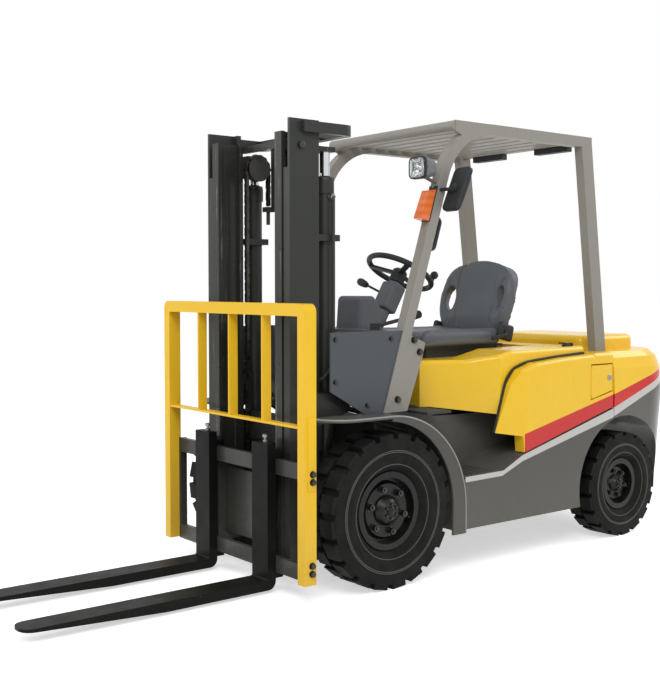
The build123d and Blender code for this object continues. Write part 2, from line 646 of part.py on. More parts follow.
def carriage():
    """Two fork bars with end plates, roller plates, rollers and chain anchors."""
    bars = block(-CARRIAGE_HALF, CARRIAGE_HALF, -BAR_FRONT, -BAR_REAR, TOP_BAR_Z, TOP_BAR_Z + BAR_H)
    bars += block(-CARRIAGE_HALF, CARRIAGE_HALF, -BAR_FRONT, -BAR_REAR, LOW_BAR_Z, LOW_BAR_Z + BAR_H)
    plate_out = INNER_IN - CARRIAGE_CLEAR
    plate_in = plate_out - CARRIAGE_PLATE_T
    low, high = LOW_BAR_Z + BAR_H - 25, TOP_BAR_Z + 25
    side = block(plate_in, plate_out, -BAR_REAR - 2, SHEAVE_Y - SHEAVE_R + 14, low, high)
    side += block(CARRIAGE_HALF - CARRIAGE_END_T, CARRIAGE_HALF, -BAR_FRONT, -BAR_REAR + 12, LOW_BAR_Z,
                  TOP_BAR_Z + BAR_H)
    roller_x = INNER_MID_X - INNER_WEB_T / 2 - 1.5
    for z in (ROLLER_LOW_Z, ROLLER_HIGH_Z):
        side += bar_x(ROLLER_R, roller_x - ROLLER_W, roller_x, ROLLER_Y, z)
        side += bar_x(18, plate_in + 2, roller_x - 4, ROLLER_Y, z)
    anchor_y = SHEAVE_Y - SHEAVE_R
    side += block(SHEAVE_X - 22, plate_in + 2, anchor_y - 14, anchor_y + 14, CHAIN_ANCHOR_Z - 24,
                  CHAIN_ANCHOR_Z)
    side += bar_z(9, SHEAVE_X, anchor_y, CHAIN_ANCHOR_Z - 70, CHAIN_ANCHOR_Z - 10)
    cross = block(-plate_out + 2, plate_out - 2, -BAR_REAR + 40, -BAR_REAR + 52, low + 40, high - 60)
    return bars + side + right_of(side) + cross


def load_backrest():
    """The yellow frame that keeps the load off the mast."""
    depth_rear = -REST_FRONT + REST_POST_D
    frame = block(-REST_HALF, REST_HALF, -REST_FRONT, depth_rear, REST_BOTTOM, REST_TOP)
    frame = fillet(frame.edges().filter_by(Axis.Y).group_by(Axis.Z)[-1], 34)
    inside = REST_HALF - REST_POST_W
    frame -= block(-inside, inside, -REST_FRONT - 1, depth_rear + 1, REST_BOTTOM - 1, REST_TOP - 51)
    rail = block(-inside - 2, inside + 2, -REST_FRONT + 4, -REST_FRONT + 44, REST_RAIL_Z - 5,
                 REST_RAIL_Z + 5)
    frame += rail
    for i in range(3):
        x = (i - 1) * inside / 2
        frame += block(x - REST_BAR_T / 2, x + REST_BAR_T / 2, -REST_FRONT + 4, -REST_FRONT + 48,
                       REST_RAIL_Z, REST_TOP - 49)
    return frame


def fork():
    """Left fork: tapered blade, shank and the two hooks that hang on the carriage bars."""
    face, back = -FORK_FACE, -BAR_FRONT
    tip = -FORK_FACE - FORK_LENGTH
    top = FORK_CLEAR + FORK_T
    side = make_face(Polyline(
        (back, FORK_TOP), (face, FORK_TOP), (face, top), (tip, top), (tip, top - FORK_TIP_T),
        (face - 0.45 * FORK_LENGTH, FORK_CLEAR), (back, FORK_CLEAR), close=True))
    heel = side.vertices().sort_by_distance((back, FORK_CLEAR))[0]
    side = fillet(heel, FORK_T * 0.9)
    bend = side.vertices().sort_by_distance((face, top))[0]
    side = fillet(bend, 8)
    x0, x1 = FORK_X - FORK_W / 2, FORK_X + FORK_W / 2
    body = extrude(Plane.YZ.offset(x0) * side, amount=FORK_W)
    tip_edges = body.edges().filter_by(Axis.Z).group_by(Axis.Y)[0]
    body = fillet(tip_edges, FORK_W * 0.42)
    lip = -BAR_REAR + HOOK_GAP
    high = TOP_BAR_Z + BAR_H + HOOK_GAP
    low = LOW_BAR_Z - HOOK_GAP
    body += block(x0, x1, back - 2, lip + HOOK_T, high, high + 24)
    body += block(x0, x1, lip, lip + HOOK_T, high - 20, high + 24)
    body += block(x0, x1, back - 2, lip + HOOK_T, low - 24, low)
    body += block(x0, x1, lip, lip + HOOK_T, low - 24, low + 18)
    return body


# Tilt cylinders


def along_tilt(distance):
    """A point on the left tilt cylinder's line, measured from its base pin."""
    dy, dz = TILT_EYE_Y - TILT_BASE_Y, TILT_EYE_Z - TILT_BASE_Z
    length = math.hypot(dy, dz)
    return (TILT_X, TILT_BASE_Y + dy * distance / length, TILT_BASE_Z + dz * distance / length)


def tilt_barrels():
    """The tilt cylinder barrels with their base eyes."""
    barrel = rod_between(TILT_R, along_tilt(58), along_tilt(TILT_BARREL_END))
    barrel -= rod_between(TILT_ROD_R + 6, along_tilt(80), along_tilt(TILT_BARREL_END - 18))
    barrel -= rod_between(TILT_ROD_R + RUN_GAP, along_tilt(100), along_tilt(TILT_BARREL_END + 1))
    barrel += bar_x(TILT_EYE_R, TILT_X - TILT_EYE_W / 2, TILT_X + TILT_EYE_W / 2, TILT_BASE_Y, TILT_BASE_Z)
    barrel += rod_between(16, along_tilt(10), along_tilt(62))
    barrel -= bar_x(TILT_PIN_R + RUN_GAP, TILT_X - TILT_EYE_W, TILT_X + TILT_EYE_W, TILT_BASE_Y,
                    TILT_BASE_Z)
    return pair(barrel)


def tilt_rods():
    """The tilt cylinder rods with the eyes that pull the mast."""
    rod = rod_between(TILT_ROD_R, along_tilt(220), along_tilt(TILT_LENGTH - 20))
    rod += bar_x(TILT_EYE_R, TILT_X - TILT_EYE_W / 2, TILT_X + TILT_EYE_W / 2, TILT_EYE_Y, TILT_EYE_Z)
    rod -= bar_x(TILT_EYE_BORE, TILT_X - TILT_EYE_W, TILT_X + TILT_EYE_W, TILT_EYE_Y, TILT_EYE_Z)
    return pair(rod)


# Chassis


def side_profile():
    """Outline of the lower body side, below the light stripe."""
    arch_y = WHEELBASE
    rise = COUNTERWEIGHT_Y - SEAM
    return [
        (FENDER_R, SILL_Z), (arch_y - ARCH_R - 40, SILL_Z), (rise, SILL_Z), (rise, 676), (820, 500),
        (690, STEP_Z + 4), (FENDER_R, STEP_Z),
    ]


def frame():
    """The welded chassis: side tanks, engine bay walls, cross members and the tail over the rear axle."""
    sill = plate(side_profile(), STEP_IN + 20, BODY_HALF)
    sill -= bar_x(ARCH_R, STEP_IN - 10, BODY_HALF + 10, WHEELBASE, REAR_Z)
    sill -= block(STEP_IN + 19, BODY_HALF - 30, REAR_SHELF_Y, WHEELBASE, 500, 700)
    deck = FLOOR_Z - FLOOR_T
    wall = plate([(120, 400), (120, deck), (HOOD_FRONT_Y, deck), (HOOD_FRONT_Y + 60, 690),
                  (BAY_REAR_Y, 680), (BAY_REAR_Y, SILL_Z), (FENDER_R, SILL_Z)], STEP_IN, STEP_IN + 20)
    lug_in = TILT_X - TILT_EYE_W / 2 - 3
    lug_out = TILT_X + TILT_EYE_W / 2 + 3
    lug = [(TILT_BASE_Y - 32, TILT_BASE_Z + 30), (TILT_BASE_Y + 36, TILT_BASE_Z + 30),
           (TILT_BASE_Y + 60, 600), (TILT_BASE_Y + 130, 480), (TILT_BASE_Y - 60, 480),
           (TILT_BASE_Y - 32, 590)]
    bracket = plate(lug, STEP_IN + 18, lug_in) + plate(lug, lug_out, lug_out + TILT_LUG_T)
    bracket += block(STEP_IN + 18, lug_out + TILT_LUG_T, TILT_BASE_Y + 50, TILT_BASE_Y + 130, STEP_Z - 2,
                     520)
    bracket += bar_x(TILT_PIN_R, STEP_IN + 18, lug_out + TILT_LUG_T + 6, TILT_BASE_Y, TILT_BASE_Z)
    side = sill + wall + bracket
    chassis = side + right_of(side)
    chassis += block(-STEP_IN - 5, STEP_IN + 5, 340, 420, 520, 660)
    chassis += block(-STEP_IN - 5, STEP_IN + 5, BAY_REAR_Y - 30, BAY_REAR_Y, SILL_Z + 20, 640)
    tail_half = 90
    chassis += block(-tail_half, tail_half, BAY_REAR_Y - 2, WHEELBASE + 125, 480, 600)
    for y0 in (WHEELBASE - 115, WHEELBASE + 80):
        hanger = block(-tail_half, tail_half, y0, y0 + 35, REAR_Z - 20, 482)
        hanger -= Pos(0, y0 + 17, REAR_Z + 40) * Rot(90, 0, 0) * Cylinder(TRUNNION_R + RUN_GAP, 60)
        chassis += hanger
    return chassis


def front_fenders():
    """Fenders over the front wheels, flat on top and curved down behind."""
    outer_r = FENDER_R
    inner_r = outer_r - FENDER_T
    drop = FENDER_Z - outer_r
    shell = block(FENDER_IN, FENDER_OUT, FENDER_NOSE_Y, 0, FENDER_Z - FENDER_T, FENDER_Z)
    quarter = bar_x(outer_r, FENDER_IN, FENDER_OUT, 0, drop)
    quarter -= bar_x(inner_r, FENDER_IN - 1, FENDER_OUT + 1, 0, drop)
    shell += quarter & block(FENDER_IN, FENDER_OUT, 0, outer_r + 1, drop, FENDER_Z + 1)
    shell += block(FENDER_IN, FENDER_OUT, inner_r, outer_r, SILL_Z - 15, drop)
    nose = shell.edges().filter_by(Axis.Z).group_by(Axis.Y)[0].sort_by(Axis.X)[-1]
    shell = fillet(nose, min(FENDER_NOSE_R, 0.8 * (FENDER_OUT - FENDER_IN)))
    skirt_in = FENDER_OUT - SKIRT_T
    foot = SILL_Z - 15
    skirt = bar_x(outer_r, skirt_in, FENDER_OUT, 0, drop)
    skirt += block(skirt_in, FENDER_OUT, 0, outer_r, foot, drop)
    skirt &= block(skirt_in, FENDER_OUT, 0, outer_r + 1, foot, FENDER_Z)
    skirt -= bar_x(SKIRT_R, skirt_in - 1, FENDER_OUT + 1, -SKIRT_LEAD, drop + SKIRT_RISE)
    skirt -= block(skirt_in - 1, FENDER_OUT + 1, -1, SKIRT_R - SKIRT_LEAD, foot - 1, drop + SKIRT_RISE)
    return pair(shell + skirt)


def floor_plate():
    """The driver's floor from the cowl to the hood, wider behind the tilt cylinders."""
    narrow = STEP_IN + 8
    wide = GUARD_HALF + 8
    back = HOOD_FRONT_Y + HOOD_WALL
    step = 292
    outline = [(-narrow, 30), (narrow, 30), (narrow, step), (wide, step), (wide, back), (-wide, back),
               (-wide, step), (-narrow, step)]
    return slab(outline, FLOOR_Z - FLOOR_T, FLOOR_Z)


def cowl():
    """Front panel, top and side wings round the driver's feet."""
    wing = plate([(-250, FENDER_Z + 110), (-250, COWL_TOP), (leg_front(COWL_TOP), COWL_TOP),
                  (leg_front(FENDER_Z), FENDER_Z), (-60, FENDER_Z)], WING_X - WING_T, WING_X)
    front = plate([(0, FLOOR_Z - FLOOR_T), (12, FLOOR_Z - FLOOR_T), (87, COWL_TOP - 12),
                   (75, COWL_TOP - 12)], -WING_X + WING_T, WING_X - WING_T)
    for x0 in (STEP_IN + 8, -WING_X):
        front -= block(x0, x0 + WING_X - STEP_IN - 8, -50, 150, FLOOR_Z - 50, 860)
    top = plate([(75, COWL_TOP - 14), (75, COWL_TOP - 2), (145, COWL_TOP - 2), (145, COWL_TOP - 14)],
                -WING_X + WING_T, WING_X - WING_T)
    shelf = block(-POD_HALF - 20, POD_HALF + 20, 140, POD_REAR_Y - 20, COWL_TOP - 14, COWL_TOP - 2)
    brace = plate([(70, COWL_TOP - 160), (POD_REAR_Y - 60, COWL_TOP - 13), (70, COWL_TOP - 13)], -30, 30)
    return wing + right_of(wing) + front + top + shelf + brace


def side_panel():
    """Left rear body cover, with its slanted front face and the shelf under the guard's rear leg."""
    rise = COUNTERWEIGHT_Y - SEAM
    outline = [
        (700, 610), (835, 588), (841, 511), (rise, 676 + SEAM), (rise, PANEL_TOP), (1150, 952), (930, 935),
        (830, 905), (775, 840),
    ]
    panel = plate(outline, PANEL_HALF - PANEL_T, PANEL_HALF)
    slant = slab([(PANEL_HALF + 1, 600), (PANEL_HALF + 1, 850), (PANEL_HALF - PANEL_T, 700),
                  (PANEL_HALF - PANEL_T, 600)], 400, 1100)
    panel -= slant
    skin = panel.faces().filter_by(Axis.X).sort_by(Axis.X)[-1]
    crown = [edge for edge in skin.edges() if edge.center().Z > 850 and edge.center().Y < rise - 1]
    panel = fillet(crown, PANEL_EDGE_R)
    shelf = block(GUARD_IN - 16, PANEL_HALF, REAR_SHELF_Y, rise, 700, PANEL_TOP)
    shelf = fillet(shelf.edges().filter_by(Axis.Y).group_by(Axis.Z)[-1].sort_by(Axis.X)[-1], PANEL_EDGE_R)
    return panel + shelf


def door_outline(gap):
    """Outline of the fuel door, its lower edge rising with the light stripe, grown by a gap."""
    y0, y1, z0, z1 = FUEL_DOOR
    low = z0 - gap
    high = z1 + gap
    return [(y0 - gap, low), (y1 + gap, low + DOOR_RISE), (y1 + gap, high), (y0 - gap, high)]


def door_opening(panel):
    """Cuts the fuel filler's recess into the left panel."""
    return panel - plate(door_outline(DOOR_GAP), PANEL_HALF - 40, PANEL_HALF + 1)


def fuel_door():
    """The small lid over the fuel filler, hinged at its front edge."""
    y0, _, z0, z1 = FUEL_DOOR
    barrel = bar_z(4, PANEL_HALF + 1, y0 - 2, z0 + 15, z1 - 15)
    return plate(door_outline(0), PANEL_HALF - DOOR_T, PANEL_HALF) + barrel


def counterweight():
    """The cast weight: tapered to the top, round at the rear corners, arched over the rear wheels."""
    levels = [(SILL_Z + 60, BODY_HALF - 12, REAR_REACH - 40), (756, BODY_HALF, REAR_REACH),
              (880, BODY_HALF - 6, REAR_REACH - 10), (936, BODY_HALF - 20, REAR_REACH - 28),
              (PANEL_TOP, BODY_HALF - 45, REAR_REACH - 60)]
    sections = []
    for z, half, rear in levels:
        outline = make_face(Polyline((-half, COUNTERWEIGHT_Y), (half, COUNTERWEIGHT_Y), (half, rear),
                                     (-half, rear), close=True))
        outline = fillet(outline.vertices().group_by(Axis.Y)[-1], 260)
        sections.append(Plane.XY.offset(z) * outline)
    weight = loft(sections, ruled=True)
    reach = BODY_HALF + 20
    arch = bar_x(ARCH_R, 110, reach, WHEELBASE, REAR_Z)
    weight -= arch + right_of(arch)
    weight -= block(-111, 111, COUNTERWEIGHT_Y - 1, WHEELBASE + 320, SILL_Z, 600)
    deck = block(-GUARD_IN + 60, GUARD_IN - 60, COUNTERWEIGHT_Y, REAR_REACH - 110, PANEL_TOP - 7, DECK_Z)
    deck = fillet(deck.edges().filter_by(Axis.Z), 70)
    weight += fillet(deck.edges().group_by(Axis.Z)[-1], 34)
    weight -= block(-GRILLE_HALF, GRILLE_HALF, REAR_REACH - GRILLE_DEPTH, REAR_REACH + 10, GRILLE_LOW,
                    GRILLE_TOP)
    weight -= block(-TOW_HALF - 1, TOW_HALF + 1, REAR_REACH - TOW_DEPTH, REAR_REACH + 10, 330, 570)
    return weight


def rear_grille():
    """Slatted outlet of the radiator in the counterweight's rear, its slats sloping down outwards."""
    front, back = REAR_REACH - GRILLE_DEPTH, REAR_REACH - 48
    grille = block(-GRILLE_HALF, GRILLE_HALF, front, back, GRILLE_LOW, GRILLE_TOP)
    wall = 14
    grille -= block(-GRILLE_HALF + wall, GRILLE_HALF - wall, front - 1, back + 1, GRILLE_LOW + wall,
                    GRILLE_TOP - wall)
    pitch = (GRILLE_TOP - GRILLE_LOW) / (GRILLE_SLATS + 1)
    for i in range(GRILLE_SLATS):
        z = GRILLE_LOW + (i + 1) * pitch
        slat = plate([(front + 4, z + 12), (front + 4, z + 22), (back - 4, z - 12), (back - 4, z - 22)],
                     -GRILLE_HALF + wall - 1, GRILLE_HALF - wall + 1)
        grille += slat
    return grille


def tow_hitch():
    """Back plate and two lugs in the counterweight's rear pocket, the lugs bored for a drawbar pin."""
    wall = REAR_REACH - TOW_DEPTH
    plate_front = wall + TOW_PLATE
    pieces = block(-TOW_HALF, TOW_HALF, wall, plate_front, TOW_LOW_Z, TOW_HIGH_Z + TOW_LUG_T).solids()
    for z in (TOW_LOW_Z, TOW_HIGH_Z):
        lug = block(-TOW_HALF, TOW_HALF, plate_front, wall + TOW_REACH, z, z + TOW_LUG_T)
        pieces += (lug - bar_z(TOW_PIN_R, 0, wall + TOW_PIN_Y, z - 1, z + TOW_LUG_T + 1)).solids()
    return Compound(pieces)


def engine_block():
    """The engine and the radiator as plain masses in their real places."""
    engine = block(-ENGINE_HALF, ENGINE_HALF, HOOD_FRONT_Y + 65, BAY_REAR_Y - 100, ENGINE_LOW, ENGINE_TOP)
    engine += block(-STEP_IN, STEP_IN, MOUNT_Y, MOUNT_Y + 80, MOUNT_Z, MOUNT_Z + 50)
    radiator = block(-RADIATOR_HALF, RADIATOR_HALF, WHEELBASE - 200, WHEELBASE - 110, RADIATOR_LOW,
                     RADIATOR_TOP)
    return Compound([*engine.solids(), *radiator.solids()])


# Hood and seat


def hood_plan(inset):
    """Plan of the hood: narrow at the driver's legs, full width behind, drawn in by an inset."""
    front, wide = HOOD_FRONT_HALF - inset, HOOD_HALF - inset
    y0, y1, y2 = HOOD_FRONT_Y + inset, HOOD_WIDE_Y, REAR_SHELF_Y - SEAM - inset
    bow = ((front + wide) / 2 - 22, (y0 + y1) / 2 + 22)
    return make_face([
        Line((-front, y0), (front, y0)), ThreePointArc((front, y0), bow, (wide, y1)),
        Line((wide, y1), (wide, y2)), Line((wide, y2), (-wide, y2)), Line((-wide, y2), (-wide, y1)),
        ThreePointArc((-wide, y1), (-bow[0], bow[1]), (-front, y0)),
    ])


def engine_hood():
    """The hood over the engine, which carries the seat and rests on the floor plate."""
    back = REAR_SHELF_Y - SEAM
    inside = HOOD_FRONT_Y + HOOD_WALL
    outline = [(HOOD_FRONT_Y, FLOOR_Z), (HOOD_FRONT_Y, HOOD_WELL_Z), (HOOD_STEP_Y, HOOD_WELL_Z),
               (HOOD_RISE_Y, HOOD_RISE_Z), (back, HOOD_TOP), (back, HOOD_SKIRT_Z),
               (HOOD_WIDE_Y + 15, HOOD_SKIRT_Z), (inside + 20, FLOOR_Z)]
    low = Plane.XY.offset(HOOD_SKIRT_Z - 90)
    solid = extrude(low * hood_plan(0), amount=HOOD_TOP - HOOD_SKIRT_Z + 190)
    hood = solid & plate(outline, -HOOD_HALF, HOOD_HALF)
    upper = hood.edges().filter_by(lambda edge: edge.center().Z > HOOD_WELL_Z - 1)
    crown = [edge for edge in upper if abs(edge.center().X) > 1 and edge.center().Y < back - 1]
    across = hood.edges().filter_by(Axis.X).filter_by_position(Axis.Z, HOOD_WELL_Z - 1, HOOD_WELL_Z + 1)
    hood = fillet(crown + [across.sort_by(Axis.Y)[0]], HOOD_EDGE_R)
    hood -= extrude(low * hood_plan(HOOD_WALL), amount=HOOD_WELL_Z - HOOD_WALL - HOOD_SKIRT_Z + 90)
    hood -= block(-SEAT_HALF - 17, SEAT_HALF + 17, SEAT_FRONT_Y - 10, SEAT_REAR_Y + 175, HOOD_WELL_Z,
                  HOOD_TOP + 10)
    return hood


def seat_base():
    """Seat slides and suspension box."""
    rail = SEAT_HALF - 55
    rails = block(-rail, rail, SEAT_FRONT_Y + 60, SEAT_REAR_Y + 40, SEAT_LOW - 12, SEAT_LOW)
    box = block(20 - rail, rail - 20, SEAT_FRONT_Y + 90, SEAT_REAR_Y + 20, HOOD_WELL_Z, SEAT_LOW - 12)
    return rails + box


def seat_cushion():
    """Plain form of the seat cushion."""
    return block(-SEAT_HALF, SEAT_HALF, SEAT_FRONT_Y, SEAT_REAR_Y, SEAT_LOW + RUN_GAP, SEAT_TOP)


def seat_back():
    """Plain form of the seat back, leaning rearwards."""
    front = SEAT_REAR_Y + RUN_GAP
    low = SEAT_LOW + 18
    return plate([(front, low), (front + BACK_LEAN, BACK_TOP), (front + BACK_DEPTH, BACK_TOP),
                  (front + BACK_DEPTH, low)], -SEAT_HALF, SEAT_HALF)


# Driver's controls


def dash_console():
    """Rounded instrument pod on the cowl, the steering column and the shroud round its upper end."""
    outline = [(POD_FRONT_Y, COWL_TOP - 2), (POD_FRONT_Y + 12, COWL_TOP + POD_H),
               (POD_REAR_Y - 50, COWL_TOP + POD_H), (POD_REAR_Y, COWL_TOP + POD_H - 70),
               (POD_REAR_Y, COWL_TOP - 2)]
    pod = plate(outline, -POD_HALF, POD_HALF)
    upper = pod.edges().filter_by(Axis.X).group_by(Axis.Z)[1:]
    pod = fillet([edge for group in upper for edge in group], POD_R)
    sides = pod.faces().filter_by(Axis.X)
    rims = [edge for face in sides for edge in face.edges() if edge.center().Z > COWL_TOP]
    pod = fillet(rims, 0.7 * POD_R)
    column = rod_between(34, on_column(STEER_DROP + 660), on_column(STEER_DROP + 4))
    column += rod_between(14, on_column(STEER_DROP + 10), on_column(22))
    shroud = fillet(Box(SHROUD_W, SHROUD_D, SHROUD_L).edges(), 14)
    column += Pos(*on_column(SHROUD_DROP)) * Rot(-WHEEL_TILT, 0, 0) * shroud
    boot = block(-55, 55, 130, 215, FLOOR_Z, FLOOR_Z + 50)
    return pod + column + boot


def on_column(drop):
    """A point on the steering column's axis, below the wheel's centre."""
    angle = math.radians(WHEEL_TILT)
    return (0, STEER_CENTRE[1] - drop * math.sin(angle), STEER_CENTRE[2] - drop * math.cos(angle))


def steering_wheel():
    """Rim, three spokes, hub and the knob for one-handed steering."""
    rim_ring = Torus(STEER_R - 14, 14)
    hub = Pos(0, 0, -STEER_DROP / 2) * Cylinder(38, STEER_DROP)
    hub -= Pos(0, 0, -STEER_DROP / 2 - 20) * Cylinder(14 + RUN_GAP, STEER_DROP)
    wheel = rim_ring + hub
    for angle in (90, 210, 330):
        spoke = Pos((STEER_R - 14) / 2, 0, -10) * Box(STEER_R - 20, 26, 14)
        wheel += Rot(0, 0, angle) * spoke
    knob = Pos(0, 0, 22) * Cylinder(9, 40) + Pos(0, 0, 44) * Sphere(20)
    wheel += Rot(0, 0, KNOB_ANGLE) * Pos(STEER_R - 14, 0, 0) * knob
    return Pos(*STEER_CENTRE) * Rot(-WHEEL_TILT, 0, 0) * wheel


def driver_controls(guard, console):
    """Lift and tilt levers, gear lever, parking brake, pedals and the grab handle."""
    pieces = []
    for x in (-190, -240):
        low = rod_between(7, (x, 130, COWL_TOP + 8), (x, 100, COWL_TOP + 210))
        low += block(x - 14, x + 14, 115, 143, COWL_TOP - 2, COWL_TOP + 14)
        high = rod_between(7, (x, 97, COWL_TOP + 208), (x, 230, COWL_TOP + 240))
        knob = rod_between(15, (x, 215, COWL_TOP + 236), (x, 265, COWL_TOP + 248))
        pieces += (low + high + knob).solids()
    brake = rod_between(9, (300, 128, COWL_TOP + 14), (300, 330, COWL_TOP + 50))
    brake += block(285, 315, 110, 143, COWL_TOP - 2, COWL_TOP + 28)
    brake += rod_between(17, (300, 320, COWL_TOP + 48), (300, 400, COWL_TOP + 66))
    pieces += brake.solids()
    for x in (-150, -20, 130):
        stem = block(x - 8, x + 8, 110, 124, FLOOR_Z, FLOOR_Z + 90)
        pad = Pos(x, 112, FLOOR_Z + 95) * Rot(35, 0, 0) * Box(75, 60, 12)
        pieces += (stem + pad).solids()
    shift = rod_between(6, (-SHROUD_W / 2 + 8, 463, 1270), (-178, 448, 1322))
    shift += rod_between(11, (-166, 449, 1317), (-200, 446, 1330))
    pieces += (shift - console).solids()
    pieces += (grab_handle() - guard).solids()
    return Compound(pieces)


# Overhead guard, lamps and mirrors


def grab_handle():
    """Bar behind the left front leg that the driver climbs in by."""
    x = (GUARD_IN + GUARD_HALF) / 2
    low, high = leg_line(GRIP_LOW_Z), leg_line(GRIP_HIGH_Z)
    path = FilletPolyline((x, low, GRIP_LOW_Z - 20), (x, low + GRIP_BACK, GRIP_LOW_Z),
                          (x, high + GRIP_BACK, GRIP_HIGH_Z), (x, high, GRIP_HIGH_Z + 10), radius=18)
    return sweep(Plane(path @ 0, z_dir=path % 0) * Circle(GRIP_R), path)


def leg_line(z):
    """The front leg's centre line: its y at a height."""
    run = GUARD_CORNER_Y - GUARD_FOOT_Y
    return GUARD_FOOT_Y + run * (z - FENDER_Z) / (ROOF_Z - FENDER_Z)


def leg_front(z):
    """The y of the front leg's front face at a height."""
    lean = math.atan2(GUARD_CORNER_Y - GUARD_FOOT_Y, ROOF_Z - FENDER_Z)
    return leg_line(z) - GUARD_TUBE_D / 2 / math.cos(lean)


def overhead_guard():
    """Bent side tubes, rear legs, headers and roof slats."""
    mid_x = (GUARD_IN + GUARD_HALF) / 2
    path = FilletPolyline((mid_x, leg_line(FENDER_Z - 60), FENDER_Z - 60), (mid_x, GUARD_CORNER_Y, ROOF_Z),
                          (mid_x, GUARD_REAR_TOP_Y + 40, ROOF_Z), radius=GUARD_BEND_R)
    start = Plane(origin=path @ 0, x_dir=(1, 0, 0), z_dir=path % 0)
    section = start * Rectangle(GUARD_TUBE_W, GUARD_TUBE_D)
    rail = sweep(section, path)
    rail -= block(GUARD_IN - 50, GUARD_HALF + 50, -200, 400, FENDER_Z - 200, FENDER_Z)
    half = GUARD_REAR_D / 2
    rear = plate([(GUARD_REAR_FOOT_Y - half, PANEL_TOP), (GUARD_REAR_TOP_Y - half, ROOF_Z),
                  (GUARD_REAR_TOP_Y + half, ROOF_Z), (GUARD_REAR_FOOT_Y + half, PANEL_TOP)], GUARD_IN,
                      GUARD_HALF)
    foot_top = COWL_TOP - 20
    foot = plate([(leg_line(FENDER_Z) - 20, FENDER_Z), (leg_line(foot_top) + 20, foot_top),
                  (284, foot_top - 39), (269, foot_top - 98), (176, FENDER_Z)], GUARD_HALF - 12, GUARD_HALF)
    gusset = plate([(GUARD_CORNER_Y - 5, ROOF_Z - 25), (GUARD_CORNER_Y - 5, ROOF_Z + 25),
                    (720, ROOF_Z + 25), (560, ROOF_Z - 60)], GUARD_HALF - 14, GUARD_HALF)
    side = rail + rear + foot + gusset
    guard = side + right_of(side)
    guard += bar_x(GUARD_HEADER_R, -GUARD_HALF + 2, GUARD_HALF - 2, GUARD_CORNER_Y, ROOF_Z)
    guard += block(-GUARD_IN - 4, GUARD_IN + 4, GUARD_REAR_TOP_Y - 25, GUARD_REAR_TOP_Y + 25,
                   ROOF_Z - HEADER_LOW, ROOF_Z + 25)
    first, last = GUARD_CORNER_Y + 90, GUARD_REAR_TOP_Y - 90
    spacing = (last - first) / (ROOF_SLATS - 1)
    slat = SLAT_SHARE * spacing / 2
    for i in range(ROOF_SLATS):
        y = first + spacing * i
        guard += block(-GUARD_IN - 4, GUARD_IN + 4, y - slat, y + slat, ROOF_Z - 4, ROOF_Z - 4 + SLAT_T)
    return guard


def headlamps(guard):
    """Square work lamps on stems in front of the guard's legs, tapering to the rear."""
    z = ROOF_Z - HEADLAMP_DROP
    y = leg_line(z) - 150
    front = Plane.XZ.offset(-y - 14) * RectangleRounded(LAMP_W, LAMP_H, 24)
    rear = Plane.XZ.offset(-y - LAMP_D) * RectangleRounded(0.70 * LAMP_W, 0.70 * LAMP_H, 20)
    rim = extrude(Plane.XZ.offset(-y) * RectangleRounded(LAMP_W, LAMP_H, 24), amount=-14)
    shell = Pos(GUARD_HALF - 21, 0, z) * (loft([front, rear]) + rim)
    stem = rod_between(8, (GUARD_HALF - 21, y + 40, z - 40), (GUARD_HALF - 21, leg_line(z - 70), z - 70))
    return pair((shell + stem) - guard)


def turn_signals():
    """Front indicator lamps on the legs."""
    z1 = ROOF_Z - SIGNAL_DROP
    z0 = z1 - SIGNAL_H
    front = GUARD_TUBE_D / 2 + 2
    lamp = plate([(leg_line(z0) - front, z0), (leg_line(z0) - front - 52, z0 + 12),
                  (leg_line(z1) - front - 46, z1 - 6), (leg_line(z1) - front, z1)], GUARD_IN, GUARD_HALF)
    return pair(lamp)


def rear_lamps():
    """Flat tail lamps under the roof's rear header."""
    top = ROOF_Z - HEADER_LOW
    lamp = block(TAIL_X - TAIL_HALF, TAIL_X + TAIL_HALF, GUARD_REAR_TOP_Y - 14,
                 GUARD_REAR_TOP_Y - 14 + TAIL_D, top - TAIL_H, top)
    lamp = fillet(lamp.edges().filter_by(Axis.Z), 6)
    return pair(lamp)


def mirrors(guard):
    """Side mirrors on short arms from the front legs, leaning back to show the ground behind."""
    z = ROOF_Z - MIRROR_DROP
    y = leg_line(z) + MIRROR_BACK
    shell = Box(MIRROR_W, MIRROR_T, MIRROR_H)
    shell = fillet(shell.edges().filter_by(Axis.Y), 26)
    shell = fillet(shell.edges().group_by(Axis.Y)[0], 8)
    shell = Pos(MIRROR_X, y, z) * Rot(0, 0, -MIRROR_TURN) * Rot(-MIRROR_NOD, 0, 0) * shell
    arm = rod_between(8, (GUARD_HALF - 4, leg_line(z) - 4, z), (MIRROR_X, y - 20, z))
    arm += rod_between(13, (MIRROR_X, y - 30, z), (MIRROR_X, y - 4, z))
    return pair((shell + arm) - guard)


